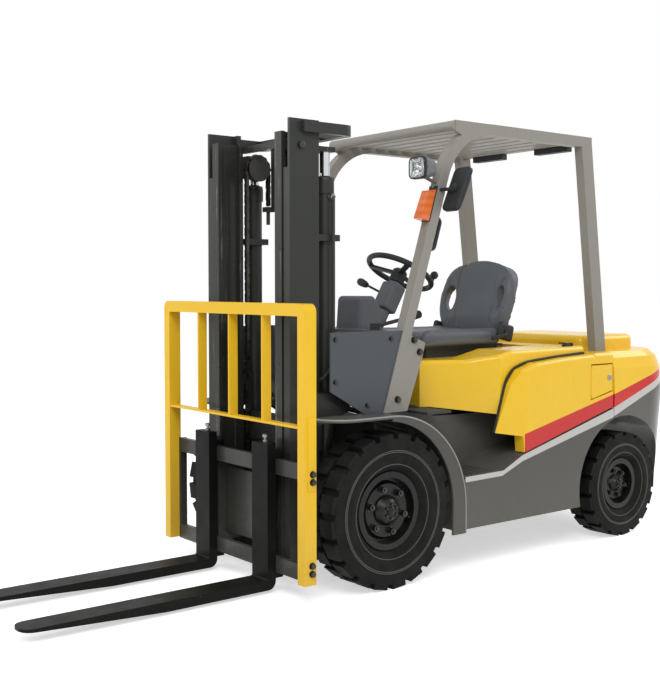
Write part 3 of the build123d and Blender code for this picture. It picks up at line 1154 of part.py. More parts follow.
def build():
    """Every node of the truck, by name, in the drawing frame."""
    left_panel = side_panel()
    guard = overhead_guard()
    console = dash_console()
    rear_wheel = (REAR_TYRE_R, REAR_TYRE_W, REAR_RIM_R, REAR_RIM_HALF - RIM_WALL, REAR_LUGS, REAR_WHEEL_X,
                  REAR_Z, WHEELBASE)
    front_wheel = (FRONT_TYRE_R, FRONT_TYRE_W, FRONT_RIM_R, FRONT_RIM_HALF - RIM_WALL, FRONT_LUGS,
                   FRONT_WHEEL_X, FRONT_Z, 0)
    nodes = {
        "frame": frame(),
        "front_fenders": front_fenders(),
        "floor_plate": floor_plate(),
        "cowl": cowl(),
        "dash_console": console,
        "driver_controls": driver_controls(guard, console),
        "overhead_guard": guard,
        "side_panel_left": door_opening(left_panel),
        "side_panel_right": right_of(left_panel),
        "counterweight": counterweight(),
        "rear_grille": rear_grille(),
        "tow_hitch": tow_hitch(),
        "engine_block": engine_block(),
        "drive_axle": drive_axle(),
        "steer_axle": steer_axle(),
        "engine_hood": engine_hood(),
        "seat_base": seat_base(),
        "seat_cushion": seat_cushion(),
        "seat_back": seat_back(),
        "headlamps": headlamps(guard),
        "turn_signals": turn_signals(),
        "rear_lamps": rear_lamps(),
        "mirrors": mirrors(guard),
        "steering_wheel": steering_wheel(),
        "fuel_door": fuel_door(),
        "front_tyre_left": tyre(*front_wheel),
        "front_rim_left": front_rim(),
        "rear_tyre_left": tyre(*rear_wheel),
        "rear_rim_left": rear_rim(),
        "knuckle_left": knuckle(),
        "outer_mast": outer_mast(),
        "lift_cylinders": lift_cylinders(),
        "mast_pipes": mast_pipes(),
        "inner_mast": inner_mast(),
        "lift_rods": lift_rods(),
        "chain_sheaves": chain_sheaves(),
        "lift_chains": lift_chains(),
        "carriage": carriage(),
        "load_backrest": load_backrest(),
        "fork_left": fork(),
        "tilt_barrels": tilt_barrels(),
        "tilt_rods": tilt_rods(),
    }
    for name in ("front_tyre", "front_rim", "rear_tyre", "rear_rim", "knuckle", "fork"):
        nodes[name + "_right"] = right_of(nodes[name + "_left"])
    return nodes


os.makedirs("parts", exist_ok=True)
for node, shape in build().items():
    export_step(Pos(0, ORIGIN_SHIFT, 0) * shape, f"parts/{node}.step")
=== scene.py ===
"""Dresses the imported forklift: finishes for the CAD nodes, a stuffed seat, chains, fasteners and lamps.

All places are in metres. y is measured from the front axle where a value says so, and from the truck's
middle in the meshes: forks point to -Y, the truck's left is +X and the floor is z = 0.
"""

import logging
import math
from dataclasses import dataclass
from enum import Enum
from functools import lru_cache
from typing import Callable, Iterable, Sequence

import bmesh
import bpy
from mathutils import Matrix, Vector


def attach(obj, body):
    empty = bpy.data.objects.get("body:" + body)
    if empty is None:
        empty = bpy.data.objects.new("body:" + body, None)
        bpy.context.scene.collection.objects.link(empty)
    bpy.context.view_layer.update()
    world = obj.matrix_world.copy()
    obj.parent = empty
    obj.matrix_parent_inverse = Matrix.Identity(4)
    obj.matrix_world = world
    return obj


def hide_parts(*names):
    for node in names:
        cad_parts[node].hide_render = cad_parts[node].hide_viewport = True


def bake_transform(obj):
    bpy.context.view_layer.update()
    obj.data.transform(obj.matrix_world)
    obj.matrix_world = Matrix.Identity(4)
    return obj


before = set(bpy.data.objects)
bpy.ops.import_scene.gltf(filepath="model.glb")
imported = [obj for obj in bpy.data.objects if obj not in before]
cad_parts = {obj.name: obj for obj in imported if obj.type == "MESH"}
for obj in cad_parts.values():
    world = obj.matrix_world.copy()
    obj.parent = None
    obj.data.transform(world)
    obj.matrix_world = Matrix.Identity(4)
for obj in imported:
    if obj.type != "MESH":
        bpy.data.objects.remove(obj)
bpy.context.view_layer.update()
LOG = logging.getLogger("forklift")
Point = tuple[float, float, float]
Line = tuple[tuple[float, float], ...]
Shape = bmesh.types.BMesh
Socket = bpy.types.NodeSocket
Tree = bpy.types.NodeTree
Colour = Socket | tuple[float, float, float, float]

FRONT_AXLE_Y = -0.279    # the CAD origin lies behind the front axle, below the middle of the truck
MIX_UNDER, MIX_OVER, MIX_RESULT = 6, 7, 2    # colour sockets of a Mix node
FLOOR_DUST = "8C877C"
SCUFFED_STEEL = "77746E"
SAND_DUST = "5B564D"


def from_axle(x: float, y: float, z: float) -> Point:
    """A point whose y is measured from the front axle, in the truck's frame."""
    return (x, y + FRONT_AXLE_Y, z)


def linear(colour: str, alpha: float = 1.0) -> tuple[float, float, float, float]:
    """Turns an sRGB hex colour into the linear values that shaders take.

    Args:
        colour: Hex digits such as "F0C424".
        alpha: Fourth value of the result.

    Returns:
        Linear red, green and blue, and alpha.
    """
    values = [int(colour[i:i + 2], 16) / 255 for i in (0, 2, 4)]
    red, green, blue = (v / 12.92 if v <= 0.04045 else ((v + 0.055) / 1.055) ** 2.4 for v in values)
    return (red, green, blue, alpha)


def add(tree: Tree, kind: str, inputs: dict | None = None, **settings) -> bpy.types.Node:
    """Adds a shader node, sets its options, and fills or links its inputs.

    Args:
        tree: The material's or world's node tree.
        kind: Node type without its "ShaderNode" prefix.
        inputs: Values or sockets by input name or number.
        **settings: Node options such as operation or data_type.

    Returns:
        The new node.
    """
    node = tree.nodes.new("ShaderNode" + kind)
    for key, value in settings.items():
        setattr(node, key, value)
    for key, value in (inputs or {}).items():
        if isinstance(value, Socket):
            tree.links.new(value, node.inputs[key])
        else:
            node.inputs[key].default_value = value
    return node


def per_metre(size_mm: float) -> float:
    """Texture scale at which one feature of a pattern measures about size_mm."""
    return 1000.0 / size_mm


def noise(tree: Tree, place: Socket, size_mm: float, detail: float, roughness: float = 0.5) -> Socket:
    """Adds a noise pattern.

    Args:
        tree: The material's node tree.
        place: Object coordinates in metres.
        size_mm: Size of one feature.
        detail: Octaves of finer noise in it.
        roughness: Weight of those octaves.

    Returns:
        The pattern's value.
    """
    inputs = {"Vector": place, "Scale": per_metre(size_mm), "Detail": detail, "Roughness": roughness}
    return add(tree, "TexNoise", inputs).outputs["Fac"]


def mixed(tree: Tree, factor: Socket, under: Colour, over: Colour) -> Socket:
    """Mixes two colours.

    Args:
        tree: The material's node tree.
        factor: Share of the second colour.
        under: First colour, as linear values or a socket.
        over: Second colour, the same way.

    Returns:
        The mixed colour.
    """
    inputs = {"Factor": factor, MIX_UNDER: under, MIX_OVER: over}
    return add(tree, "Mix", inputs, data_type="RGBA").outputs[MIX_RESULT]


def emboss(tree: Tree, shader: bpy.types.Node, height: Socket, strength: float, distance: float,
           invert: bool = False) -> None:
    """Gives a shader a bump.

    Args:
        tree: The material's node tree.
        shader: Its Principled BSDF.
        height: The pattern that makes the relief.
        strength: How much of the relief shows.
        distance: Depth of the relief in metres.
        invert: Whether high values lie deep.
    """
    bump = add(tree, "Bump", {"Height": height, "Strength": strength, "Distance": distance}, invert=invert)
    tree.links.new(bump.outputs[0], shader.inputs["Normal"])


# Finishes


@dataclass(frozen=True)
class Finish:
    """A surface as it was made, turned into one procedural material.

    Attributes:
        name: What the surface is.
        colour: Main sRGB hex colour.
        roughness: Middle roughness.
        gloss: Specular level; dusty paint, rubber and plastic have less than a clean surface.
    """

    name: str
    colour: str
    roughness: float
    gloss: float = 0.2

    def shade(self, tree: Tree, shader: bpy.types.Node, place: Socket) -> None:
        """Fills in the shader. Each kind of finish has its own way.

        Args:
            tree: The material's node tree.
            shader: Its Principled BSDF.
            place: Object coordinates in metres.
        """
        raise NotImplementedError

    def patchy(self, tree: Tree, shader: bpy.types.Node, place: Socket, size_mm: float,
               spread: float) -> None:
        """Roughness that changes in soft patches, as handling and weather leave it.

        Args:
            tree: The material's node tree.
            shader: Its Principled BSDF.
            place: Object coordinates in metres.
            size_mm: Size of the patches.
            spread: How far the roughness swings to each side.
        """
        patch = noise(tree, place, size_mm, 4.0)
        rough = add(tree, "MapRange", {"Value": patch, "From Min": 0.3, "From Max": 0.7,
                                       "To Min": self.roughness - spread, "To Max": self.roughness + spread})
        tree.links.new(rough.outputs[0], shader.inputs["Roughness"])


@lru_cache(maxsize=None)
def material_of(finish: Finish) -> bpy.types.Material:
    """The one material of a finish, made at first use.

    Args:
        finish: The finish to make.

    Returns:
        A node material named after the finish.
    """
    material = bpy.data.materials.new(finish.name)
    material.use_nodes = True
    tree = material.node_tree
    shader = tree.nodes["Principled BSDF"]
    shader.inputs["Specular IOR Level"].default_value = finish.gloss
    place = add(tree, "TexCoord").outputs["Object"]
    finish.shade(tree, shader, place)
    return material


@dataclass(frozen=True)
class Enamel(Finish):
    """Sprayed and baked enamel: an even coat with a faint orange peel, and dust that settles low.

    Attributes:
        coat: Weight of the clear gloss on top.
        drift_mm: Size of the slow drifts in tone.
        peel_mm: Size of the orange peel, drawn a little coarser than real so that it shows.
        dust: Share of dust near the floor.
    """

    coat: float = 0.0
    drift_mm: float = 420.0
    peel_mm: float = 5.0
    dust: float = 0.25

    def base(self, tree: Tree, place: Socket) -> Colour:
        """The coat's own colour, before drift and dust.

        Args:
            tree: The material's node tree.
            place: Object coordinates in metres.

        Returns:
            A linear colour, or a socket that gives one.
        """
        return linear(self.colour)

    def shade(self, tree: Tree, shader: bpy.types.Node, place: Socket) -> None:
        """Colour with slow drifts and low dust, roughness in patches, orange peel as bump.

        Args:
            tree: The material's node tree.
            shader: Its Principled BSDF.
            place: Object coordinates in metres.
        """
        base = self.base(tree, place)
        lighter = add(tree, "HueSaturation", {"Color": base, "Value": 1.08, "Saturation": 0.97})
        toned = mixed(tree, noise(tree, place, self.drift_mm, 3.0), base, lighter.outputs[0])
        height = add(tree, "SeparateXYZ", {0: place}).outputs["Z"]
        low = add(tree, "MapRange", {"Value": height, "From Min": 0.05, "From Max": 0.60, "To Min": self.dust,
                                     "To Max": 0.0}, interpolation_type="SMOOTHSTEP").outputs[0]
        grit = noise(tree, place, 35, 6.0, 0.7)
        dusty = add(tree, "Math", {0: low, 1: grit}, operation="MULTIPLY").outputs[0]
        tree.links.new(mixed(tree, dusty, toned, linear(FLOOR_DUST)), shader.inputs["Base Color"])
        self.patchy(tree, shader, place, 90, 0.06)
        emboss(tree, shader, noise(tree, place, self.peel_mm, 1.0), 0.05, 0.0006)
        shader.inputs["Coat Weight"].default_value = self.coat
        shader.inputs["Coat Roughness"].default_value = 0.06


@dataclass(frozen=True)
class Band:
    """A stripe along the truck's sides between two bent lines.

    Attributes:
        colour: sRGB hex colour.
        upper: Upper edge as (y from the front axle, z).
        lower: Lower edge, the same way.
        from_y: Where the stripe starts, from the front axle.
        from_x: How far out the surface has to lie to take the stripe.
    """

    colour: str
    upper: Line
    lower: Line
    from_y: float = -9.0
    from_x: float = 0.0

    def height(self, tree: Tree, along: Socket, line: Line) -> Socket | float:
        """Height of a bent line at each place along the truck.

        Args:
            tree: The material's node tree.
            along: The y coordinate.
            line: Points of the bent line.

        Returns:
            The line's z there.
        """
        total: Socket | float = line[0][1]
        for (y0, z0), (y1, z1) in zip(line, line[1:]):
            rise = add(tree, "MapRange", {"Value": along, "From Min": y0 + FRONT_AXLE_Y,
                                          "From Max": y1 + FRONT_AXLE_Y, "To Min": 0.0, "To Max": z1 - z0})
            total = add(tree, "Math", {0: rise.outputs[0], 1: total}, operation="ADD").outputs[0]
        return total

    def mask(self, tree: Tree, place: Socket) -> Socket:
        """1 inside the stripe and 0 outside, with an edge as sharp as masking tape leaves it.

        Args:
            tree: The material's node tree.
            place: Object coordinates in metres.

        Returns:
            The mask.
        """
        axes = add(tree, "SeparateXYZ", {0: place}).outputs
        out = add(tree, "Math", {0: axes["X"]}, operation="ABSOLUTE").outputs[0]
        rooms = (
            (self.height(tree, axes["Y"], self.upper), axes["Z"]),
            (axes["Z"], self.height(tree, axes["Y"], self.lower)),
            (axes["Y"], self.from_y + FRONT_AXLE_Y),
            (out, self.from_x),
        )
        least: Socket | float = 1.0
        for high, low in rooms:
            room = add(tree, "Math", {0: high, 1: low}, operation="SUBTRACT").outputs[0]
            least = add(tree, "Math", {0: room, 1: least}, operation="MINIMUM").outputs[0]
        return add(tree, "MapRange", {"Value": least, "From Min": -0.0003, "From Max": 0.0003}).outputs[0]


@dataclass(frozen=True)
class StripedEnamel(Enamel):
    """Enamel with stripes masked off and sprayed in other colours.

    Attributes:
        bands: The stripes, each over those before it.
    """

    bands: tuple[Band, ...] = ()

    def base(self, tree: Tree, place: Socket) -> Colour:
        """The main colour with the stripes on it.

        Args:
            tree: The material's node tree.
            place: Object coordinates in metres.

        Returns:
            A linear colour, or a socket that gives one.
        """
        colour: Colour = linear(self.colour)
        for band in self.bands:
            colour = mixed(tree, band.mask(tree, place), colour, linear(band.colour))
        return colour


@dataclass(frozen=True)
class WornEnamel(Enamel):
    """Enamel that loads and rollers rub off: steel shows in long scuffs.

    Attributes:
        scuff_mm: Length of a scuff along each axis.
        worn: Share of bare steel.
    """

    scuff_mm: Point = (60.0, 60.0, 60.0)
    worn: float = 0.15

    def shade(self, tree: Tree, shader: bpy.types.Node, place: Socket) -> None:
        """Paint as on the rest, with steel let through by a stretched noise.

        Args:
            tree: The material's node tree.
            shader: Its Principled BSDF.
            place: Object coordinates in metres.
        """
        super().shade(tree, shader, place)
        stretch = tuple(per_metre(size) for size in self.scuff_mm)
        drawn = add(tree, "Mapping", {"Vector": place, "Scale": stretch}).outputs[0]
        scuff = add(tree, "TexNoise", {"Vector": drawn, "Scale": 1.0, "Detail": 6.0, "Roughness": 0.65})
        mask = add(tree, "MapRange", {"Value": scuff.outputs["Fac"], "From Min": 0.74 - self.worn,
                                      "From Max": 0.80 - self.worn, "To Max": 0.85}).outputs[0]
        painted = shader.inputs["Base Color"].links[0].from_socket
        tree.links.new(mixed(tree, mask, painted, linear(SCUFFED_STEEL)), shader.inputs["Base Color"])
        metal = add(tree, "Math", {0: mask, 1: 0.8}, operation="MULTIPLY")
        tree.links.new(metal.outputs[0], shader.inputs["Metallic"])


@dataclass(frozen=True)
class Rubber(Finish):
    """Moulded rubber: dull and nearly black, greyed by bloom and floor dust.

    Attributes:
        dust: Hex colour of the dust.
        share: How much of it lies on the rubber.
    """

    dust: str = "6F6B64"
    share: float = 0.35

    def shade(self, tree: Tree, shader: bpy.types.Node, place: Socket) -> None:
        """Bloom in wide patches, dust in fine ones, and a skin of fine pits.

        Args:
            tree: The material's node tree.
            shader: Its Principled BSDF.
            place: Object coordinates in metres.
        """
        bloom = noise(tree, place, 140, 5.0, 0.6)
        grit = noise(tree, place, 9, 4.0, 0.7)
        lie = add(tree, "Math", {0: bloom, 1: grit}, operation="MULTIPLY").outputs[0]
        mask = add(tree, "MapRange", {"Value": lie, "From Min": 0.18, "From Max": 0.42, "To Max": self.share})
        colour = mixed(tree, mask.outputs[0], linear(self.colour), linear(self.dust))
        tree.links.new(colour, shader.inputs["Base Color"])
        self.patchy(tree, shader, place, 60, 0.09)
        emboss(tree, shader, noise(tree, place, 3, 3.0), 0.25, 0.0006)
        shader.inputs["IOR"].default_value = 1.52


@dataclass(frozen=True)
class MouldedPlastic(Finish):
    """Injection-moulded plastic or coated fabric with an etched leather grain.

    Attributes:
        grain_mm: Size of the grain's cells, drawn coarser than real so that they show.
        relief: Strength of the grain.
        sheen: Weight of the soft edge light that a coated fabric has.
    """

    grain_mm: float = 2.6
    relief: float = 0.22
    sheen: float = 0.0

    def shade(self, tree: Tree, shader: bpy.types.Node, place: Socket) -> None:
        """Tone in soft patches, and the grain's cells as bump.

        Args:
            tree: The material's node tree.
            shader: Its Principled BSDF.
            place: Object coordinates in metres.
        """
        cells = add(tree, "TexVoronoi", {"Vector": place, "Scale": per_metre(self.grain_mm)})
        lighter = add(tree, "HueSaturation", {"Color": linear(self.colour), "Value": 1.22})
        toned = mixed(tree, noise(tree, place, 120, 4.0), linear(self.colour), lighter.outputs[0])
        tree.links.new(toned, shader.inputs["Base Color"])
        self.patchy(tree, shader, place, 45, 0.07)
        emboss(tree, shader, cells.outputs["Distance"], self.relief, 0.0005, invert=True)
        shader.inputs["Sheen Weight"].default_value = self.sheen
        shader.inputs["IOR"].default_value = 1.5


@dataclass(frozen=True)
class BareMetal(Finish):
    """Machined or plated steel, drawn out in fine lines by the tool, with a thin dark film of oil.

    Attributes:
        film: Hex colour of the oily film.
        share: How much of it lies on the metal.
        lines_mm: Spacing of the tool's lines along each axis.
    """

    gloss: float = 0.5
    film: str = "2E2B26"
    share: float = 0.2
    lines_mm: Point = (2.0, 2.0, 90.0)

    def shade(self, tree: Tree, shader: bpy.types.Node, place: Socket) -> None:
        """Metal darkened by film in patches, with drawn lines in roughness and bump.

        Args:
            tree: The material's node tree.
            shader: Its Principled BSDF.
            place: Object coordinates in metres.
        """
        patch = noise(tree, place, 55, 5.0)
        mask = add(tree, "MapRange", {"Value": patch, "From Min": 0.42, "From Max": 0.68,
                                      "To Max": self.share})
        colour = mixed(tree, mask.outputs[0], linear(self.colour), linear(self.film))
        tree.links.new(colour, shader.inputs["Base Color"])
        stretch = tuple(per_metre(size) for size in self.lines_mm)
        drawn = add(tree, "Mapping", {"Vector": place, "Scale": stretch}).outputs[0]
        lines = add(tree, "TexNoise", {"Vector": drawn, "Scale": 1.0, "Detail": 2.0}).outputs["Fac"]
        rough = add(tree, "MapRange", {"Value": lines, "From Min": 0.3, "From Max": 0.7,
                                       "To Min": self.roughness * 0.75, "To Max": self.roughness * 1.3})
        tree.links.new(rough.outputs[0], shader.inputs["Roughness"])
        emboss(tree, shader, lines, 0.06, 0.0003)
        shader.inputs["Metallic"].default_value = 1.0


@dataclass(frozen=True)
class Casting(Finish):
    """Sand-cast iron under one coat of paint: a coarse skin with dust and oil in its hollows."""

    def shade(self, tree: Tree, shader: bpy.types.Node, place: Socket) -> None:
        """Colour and bump from the same sandy noise.

        Args:
            tree: The material's node tree.
            shader: Its Principled BSDF.
            place: Object coordinates in metres.
        """
        sand = noise(tree, place, 6, 5.0, 0.65)
        drift = noise(tree, place, 110, 4.0)
        mask = add(tree, "Math", {0: sand, 1: drift}, operation="MULTIPLY").outputs[0]
        spread = add(tree, "MapRange", {"Value": mask, "From Min": 0.16, "From Max": 0.40, "To Max": 0.5})
        colour = mixed(tree, spread.outputs[0], linear(self.colour), linear(SAND_DUST))
        tree.links.new(colour, shader.inputs["Base Color"])
        self.patchy(tree, shader, place, 40, 0.10)
        emboss(tree, shader, sand, 0.45, 0.0012)


@dataclass(frozen=True)
class Lens(Finish):
    """Clear or tinted lamp glass: polished outside, with moulded ribs that break up the light.

    Attributes:
        through: Share of light that passes.
        rib_mm: Spacing of the ribs.
        rib_axis: Axis across the ribs.
    """

    gloss: float = 0.5
    through: float = 0.3
    rib_mm: float = 9.0
    rib_axis: str = "Z"

    def shade(self, tree: Tree, shader: bpy.types.Node, place: Socket) -> None:
        """Painted light and dark bands of tint along the ribs, and the ribs as bump.

        Args:
            tree: The material's node tree.
            shader: Its Principled BSDF.
            place: Object coordinates in metres.
        """
        ribs = add(tree, "TexWave", {"Vector": place, "Scale": per_metre(self.rib_mm) / math.tau / 2},
                   bands_direction=self.rib_axis, wave_profile="SIN").outputs["Fac"]
        tint = linear(self.colour)
        lighter = add(tree, "HueSaturation", {"Color": tint, "Value": 1.08, "Saturation": 0.95})
        # the lighter bands of tint along the ribs are painted light
        tree.links.new(mixed(tree, ribs, tint, lighter.outputs[0]), shader.inputs["Base Color"])
        emboss(tree, shader, ribs, 0.12, 0.0008)
        self.patchy(tree, shader, place, 30, 0.03)
        shader.inputs["Transmission Weight"].default_value = self.through
        shader.inputs["IOR"].default_value = 1.49


RED = Band("C81109", ((0.840, 0.599), (1.514, 0.749), (1.868, 0.844), (1.960, 0.869)),
           ((0.841, 0.511), (1.515, 0.673), (1.869, 0.802), (1.960, 0.835)), from_y=0.8425, from_x=0.36)
SILVER = Band("C4C2BE",
              ((0.422, 0.436), (0.680, 0.441), (0.820, 0.500), (1.502, 0.675), (1.869, 0.802),
               (1.960, 0.835)),
              ((0.422, 0.413), (0.680, 0.417), (0.820, 0.472), (1.502, 0.629), (1.869, 0.765),
               (1.960, 0.798)))
SILL_SILVER = Band(SILVER.colour, ((0.422, 2.0), (1.502, 2.0)), SILVER.lower, from_x=0.5685)
LOWER_GREY = Band("575651", SILVER.lower, ((0.422, -1.0), (1.869, -1.0)))


class Finishes(Enum):
    """Every finish on the truck."""

    # glossy topcoat with a slight orange peel: deep colour, a soft mirror of the room along the edges
    YELLOW = Enamel("gloss_enamel_yellow", "F0C217", 0.28, coat=0.35)
    PANEL_YELLOW = StripedEnamel("gloss_enamel_yellow_red_stripe", "F0C217", 0.28, coat=0.35, bands=(RED,))
    WEIGHT_YELLOW = StripedEnamel("gloss_enamel_weight_stripes", "F0C217", 0.30, coat=0.3, peel_mm=7.0,
                                  bands=(RED, SILVER, LOWER_GREY))
    # the same yellow a little deeper on the load backrest as painted shade, with broad dull highlights
    SHADED_BACKREST_YELLOW = Enamel("painted_shade_backrest_yellow", "E8BA18", 0.40, coat=0.1)
    # satin paint over plate: one even tone, broad soft highlights, dust towards the floor
    SILL_GREY = StripedEnamel("satin_enamel_sill_silver_stripe", "575651", 0.44, coat=0.05,
                              bands=(SILL_SILVER,))
    BODY_GREY = Enamel("satin_enamel_body_grey", "4F4E4A", 0.44, coat=0.05)
    GUARD_GREY = Enamel("satin_enamel_guard_grey", "8C8982", 0.42, coat=0.1)
    COWL_GREY = Enamel("satin_enamel_cowl_grey", "4B5055", 0.42, coat=0.1)
    # a rolled edge in a lighter grey than the fender: a painted highlight where the edge catches the lamps
    HIGHLIGHT_EDGE_GREY = Enamel("painted_highlight_edge_enamel", "8B8A85", 0.30, 0.35, coat=0.2)
    # near-black paint on rolled steel: dark and dull, rubbed to steel where rollers and loads slide
    MAST_BLACK = Enamel("satin_enamel_mast_charcoal", "30322F", 0.38, coat=0.1)
    RAIL_BLACK = WornEnamel("greased_mast_rail", "2B2D2A", 0.32, coat=0.1, scuff_mm=(18.0, 18.0, 420.0),
                            worn=0.15)
    FORK_BLACK = WornEnamel("scuffed_fork_enamel", "0D0F0D", 0.46, 0.08, scuff_mm=(9.0, 160.0, 60.0),
                            worn=0.04, dust=0.04)
    RIM_BLACK = Enamel("satin_enamel_wheel_black", "0E0F0E", 0.27, 0.25, dust=0.06)
    # rubber straight from the mould: black with a grey bloom and no shine
    TYRE = Rubber("moulded_tyre_rubber", "101110", 0.66, 0.12, share=0.07)
    # the tyres' raised side rings in a lighter grey than the tyres: a painted highlight along them, as dull
    # as the tyres
    HIGHLIGHT_RUBBER_RIB = Rubber("painted_highlight_rubber_rib", "50504A", 0.58, share=0.4)
    # rubber that is rubbed or walked on: dusty grey, lighter than the tyres and as dull
    MAT = Rubber("ribbed_floor_rubber", "3B3D3F", 0.70, share=0.25)
    SEAL = Rubber("rubber_seal", "2B2A28", 0.60, share=0.15)
    # sand-cast skin under paint: grainy, with dust in its hollows and no clear highlight
    CAST_IRON = Casting("painted_cast_iron", "343533", 0.55)
    # ground and plated rod: one narrow bright line along it
    CHROME = BareMetal("hard_chrome_rod", "D5D8DB", 0.12, share=0.08)
    # oiled, plated or phosphated steel: small glints broken up by tool lines and a dark film
    CHAIN_STEEL = BareMetal("oiled_chain_steel", "57534C", 0.36, share=0.6, lines_mm=(2.0, 20.0, 20.0))
    BOLT_STEEL = BareMetal("zinc_plated_bolt", "9C9A93", 0.34, share=0.35, lines_mm=(3.0, 3.0, 3.0))
    DARK_BOLT = BareMetal("phosphated_bolt", "4B4A47", 0.42, share=0.4, lines_mm=(3.0, 3.0, 3.0))
    # plastic from an etched mould: a dry, even tone with a fine grain in the light
    BLACK_PLASTIC = MouldedPlastic("moulded_black_plastic", "2C2E30", 0.50)
    GREY_PLASTIC = MouldedPlastic("moulded_console_plastic", "55585C", 0.46)
    LAMP_SHELL = MouldedPlastic("moulded_lamp_shell", "6A6C6E", 0.48)
    SEAT_PAN = MouldedPlastic("moulded_seat_pan", "3A3D40", 0.50)
    # coated cloth over foam: a coarser grain, and soft light along its curves
    VINYL = MouldedPlastic("grained_seat_vinyl", "565A5F", 0.46, grain_mm=3.4, relief=0.30, sheen=0.06)
    # smooth moulded knobs: clean colour with one small highlight
    YELLOW_KNOB = MouldedPlastic("moulded_knob_yellow", "F0DC3C", 0.35, relief=0.08)
    GREY_KNOB = MouldedPlastic("moulded_knob_grey", "77787A", 0.38, relief=0.08)
    # lamp glass: a polished face, with painted light and dark bands along its ribs
    ORANGE_LENS = Lens("ribbed_indicator_lens", "F07428", 0.18, through=0.12, rib_axis="Z")
    RED_LENS = Lens("ribbed_tail_lens", "B01812", 0.18, through=0.15, rib_axis="X")
    CLEAR_LENS = Lens("fluted_headlamp_glass", "F4F6F6", 0.06, through=0.92, rib_mm=12.0, rib_axis="X")
    # mirror coats: the room's white, soft in the lamps' dishes and sharp in the mirrors
    REFLECTOR = BareMetal("aluminised_reflector", "E2E4E6", 0.16, share=0.04, lines_mm=(6.0, 6.0, 6.0))
    MIRROR_GLASS = BareMetal("silvered_mirror_glass", "CFD5D8", 0.05, share=0.05,
                             lines_mm=(40.0, 40.0, 40.0))


NODES_IN = {
    Finishes.YELLOW: ("engine_hood",),
    Finishes.PANEL_YELLOW: ("side_panel_left", "side_panel_right", "fuel_door"),
    Finishes.WEIGHT_YELLOW: ("counterweight",),
    Finishes.SHADED_BACKREST_YELLOW: ("load_backrest",),
    Finishes.SILL_GREY: ("frame",),
    Finishes.BODY_GREY: ("front_fenders",),
    Finishes.GUARD_GREY: ("overhead_guard",),
    Finishes.COWL_GREY: ("cowl",),
    Finishes.MAST_BLACK: ("outer_mast", "lift_cylinders", "mast_pipes", "carriage", "tilt_barrels"),
    Finishes.RAIL_BLACK: ("inner_mast",),
    Finishes.FORK_BLACK: ("fork_left", "fork_right"),
    Finishes.RIM_BLACK: ("front_rim_left", "front_rim_right", "rear_rim_left", "rear_rim_right"),
    Finishes.TYRE: ("front_tyre_left", "front_tyre_right", "rear_tyre_left", "rear_tyre_right"),
    Finishes.MAT: ("floor_plate",),
    Finishes.CAST_IRON: ("tow_hitch", "engine_block", "drive_axle", "steer_axle", "knuckle_left",
                         "knuckle_right", "chain_sheaves"),
    Finishes.CHROME: ("lift_rods", "tilt_rods"),
    Finishes.CHAIN_STEEL: ("lift_chains",),
    Finishes.BLACK_PLASTIC: ("driver_controls", "rear_grille", "rear_lamps", "mirrors", "steering_wheel"),
    Finishes.GREY_PLASTIC: ("dash_console",),
    Finishes.LAMP_SHELL: ("headlamps",),
    Finishes.SEAT_PAN: ("seat_base",),
    Finishes.VINYL: ("seat_cushion", "seat_back"),
    Finishes.ORANGE_LENS: ("turn_signals",),
}
NODE_FINISH = {node: finish for finish, nodes in NODES_IN.items() for node in nodes}


def dress(node: str) -> None:
    """Gives a CAD node its finish.

    Args:
        node: The node's name.
    """
    finish = NODE_FINISH[node].value
    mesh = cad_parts[node].data
    mesh.materials.clear()
    mesh.materials.append(material_of(finish))
    LOG.info("node %s in %s", node, finish.name)


# Shapes


MIRROR = Matrix.Diagonal((-1.0, 1.0, 1.0, 1.0))


def at(x: float, y: float, z: float) -> Matrix:
    """Moves a shape to a point whose y is measured from the front axle."""
    return Matrix.Translation(from_axle(x, y, z))


def turn(degrees: float, axis: str) -> Matrix:
    """Turns a shape about one of the axes."""
    return Matrix.Rotation(math.radians(degrees), 4, axis)


def moved(x: float, y: float, z: float) -> Matrix:
    """Moves a shape within its own frame."""
    return Matrix.Translation((x, y, z))


def both(place: Matrix) -> tuple[Matrix, Matrix]:
    """A place on the truck's left and the mirrored one on its right."""
    return (place, MIRROR @ place)


def mirrored(places: Sequence[Matrix]) -> list[Matrix]:
    """Places on the truck's left, and after them the mirrored ones on its right."""
    return [*places, *(MIRROR @ place for place in places)]


def towards(start: Point, end: Point) -> Matrix:
    """Stands a shape's own z axis on the line between two points, with its origin halfway.

    Args:
        start: First point, y from the front axle.
        end: Second point.

    Returns:
        The place.
    """
    first, second = Vector(from_axle(*start)), Vector(from_axle(*end))
    turned_to = (second - first).to_track_quat("Z", "X").to_matrix().to_4x4()
    return Matrix.Translation((first + second) / 2) @ turned_to


def box_shape(size: Point, bevel: float = 0.0, steps: int = 2) -> Shape:
    """A block with rounded edges, centred on the origin.

    Args:
        size: Its size along each axis.
        bevel: Radius of the edges.
        steps: Facets across each edge.

    Returns:
        The shape.
    """
    shape = bmesh.new()
    bmesh.ops.create_cube(shape, size=1.0, matrix=Matrix.Diagonal((*size, 1.0)))
    if bevel:
        bmesh.ops.bevel(shape, geom=list(shape.edges), offset=bevel, segments=steps, profile=0.5,
                        affect="EDGES", material=-1)
    return shape


def turned_shape(profile: Sequence[tuple[float, float]], steps: int = 40) -> Shape:
    """Turns a profile about the z axis.

    Args:
        profile: Points as (along the axis, radius).
        steps: Facets round the axis.

    Returns:
        The shape.
    """
    shape = bmesh.new()
    points = [shape.verts.new((radius, 0.0, along)) for along, radius in profile]
    edges = [shape.edges.new(ends) for ends in zip(points, points[1:])]
    bmesh.ops.spin(shape, geom=points + edges, cent=(0, 0, 0), axis=(0, 0, 1), angle=math.tau, steps=steps,
                   use_merge=True)
    bmesh.ops.remove_doubles(shape, verts=list(shape.verts), dist=1e-6)
    bmesh.ops.recalc_face_normals(shape, faces=list(shape.faces))
    return shape


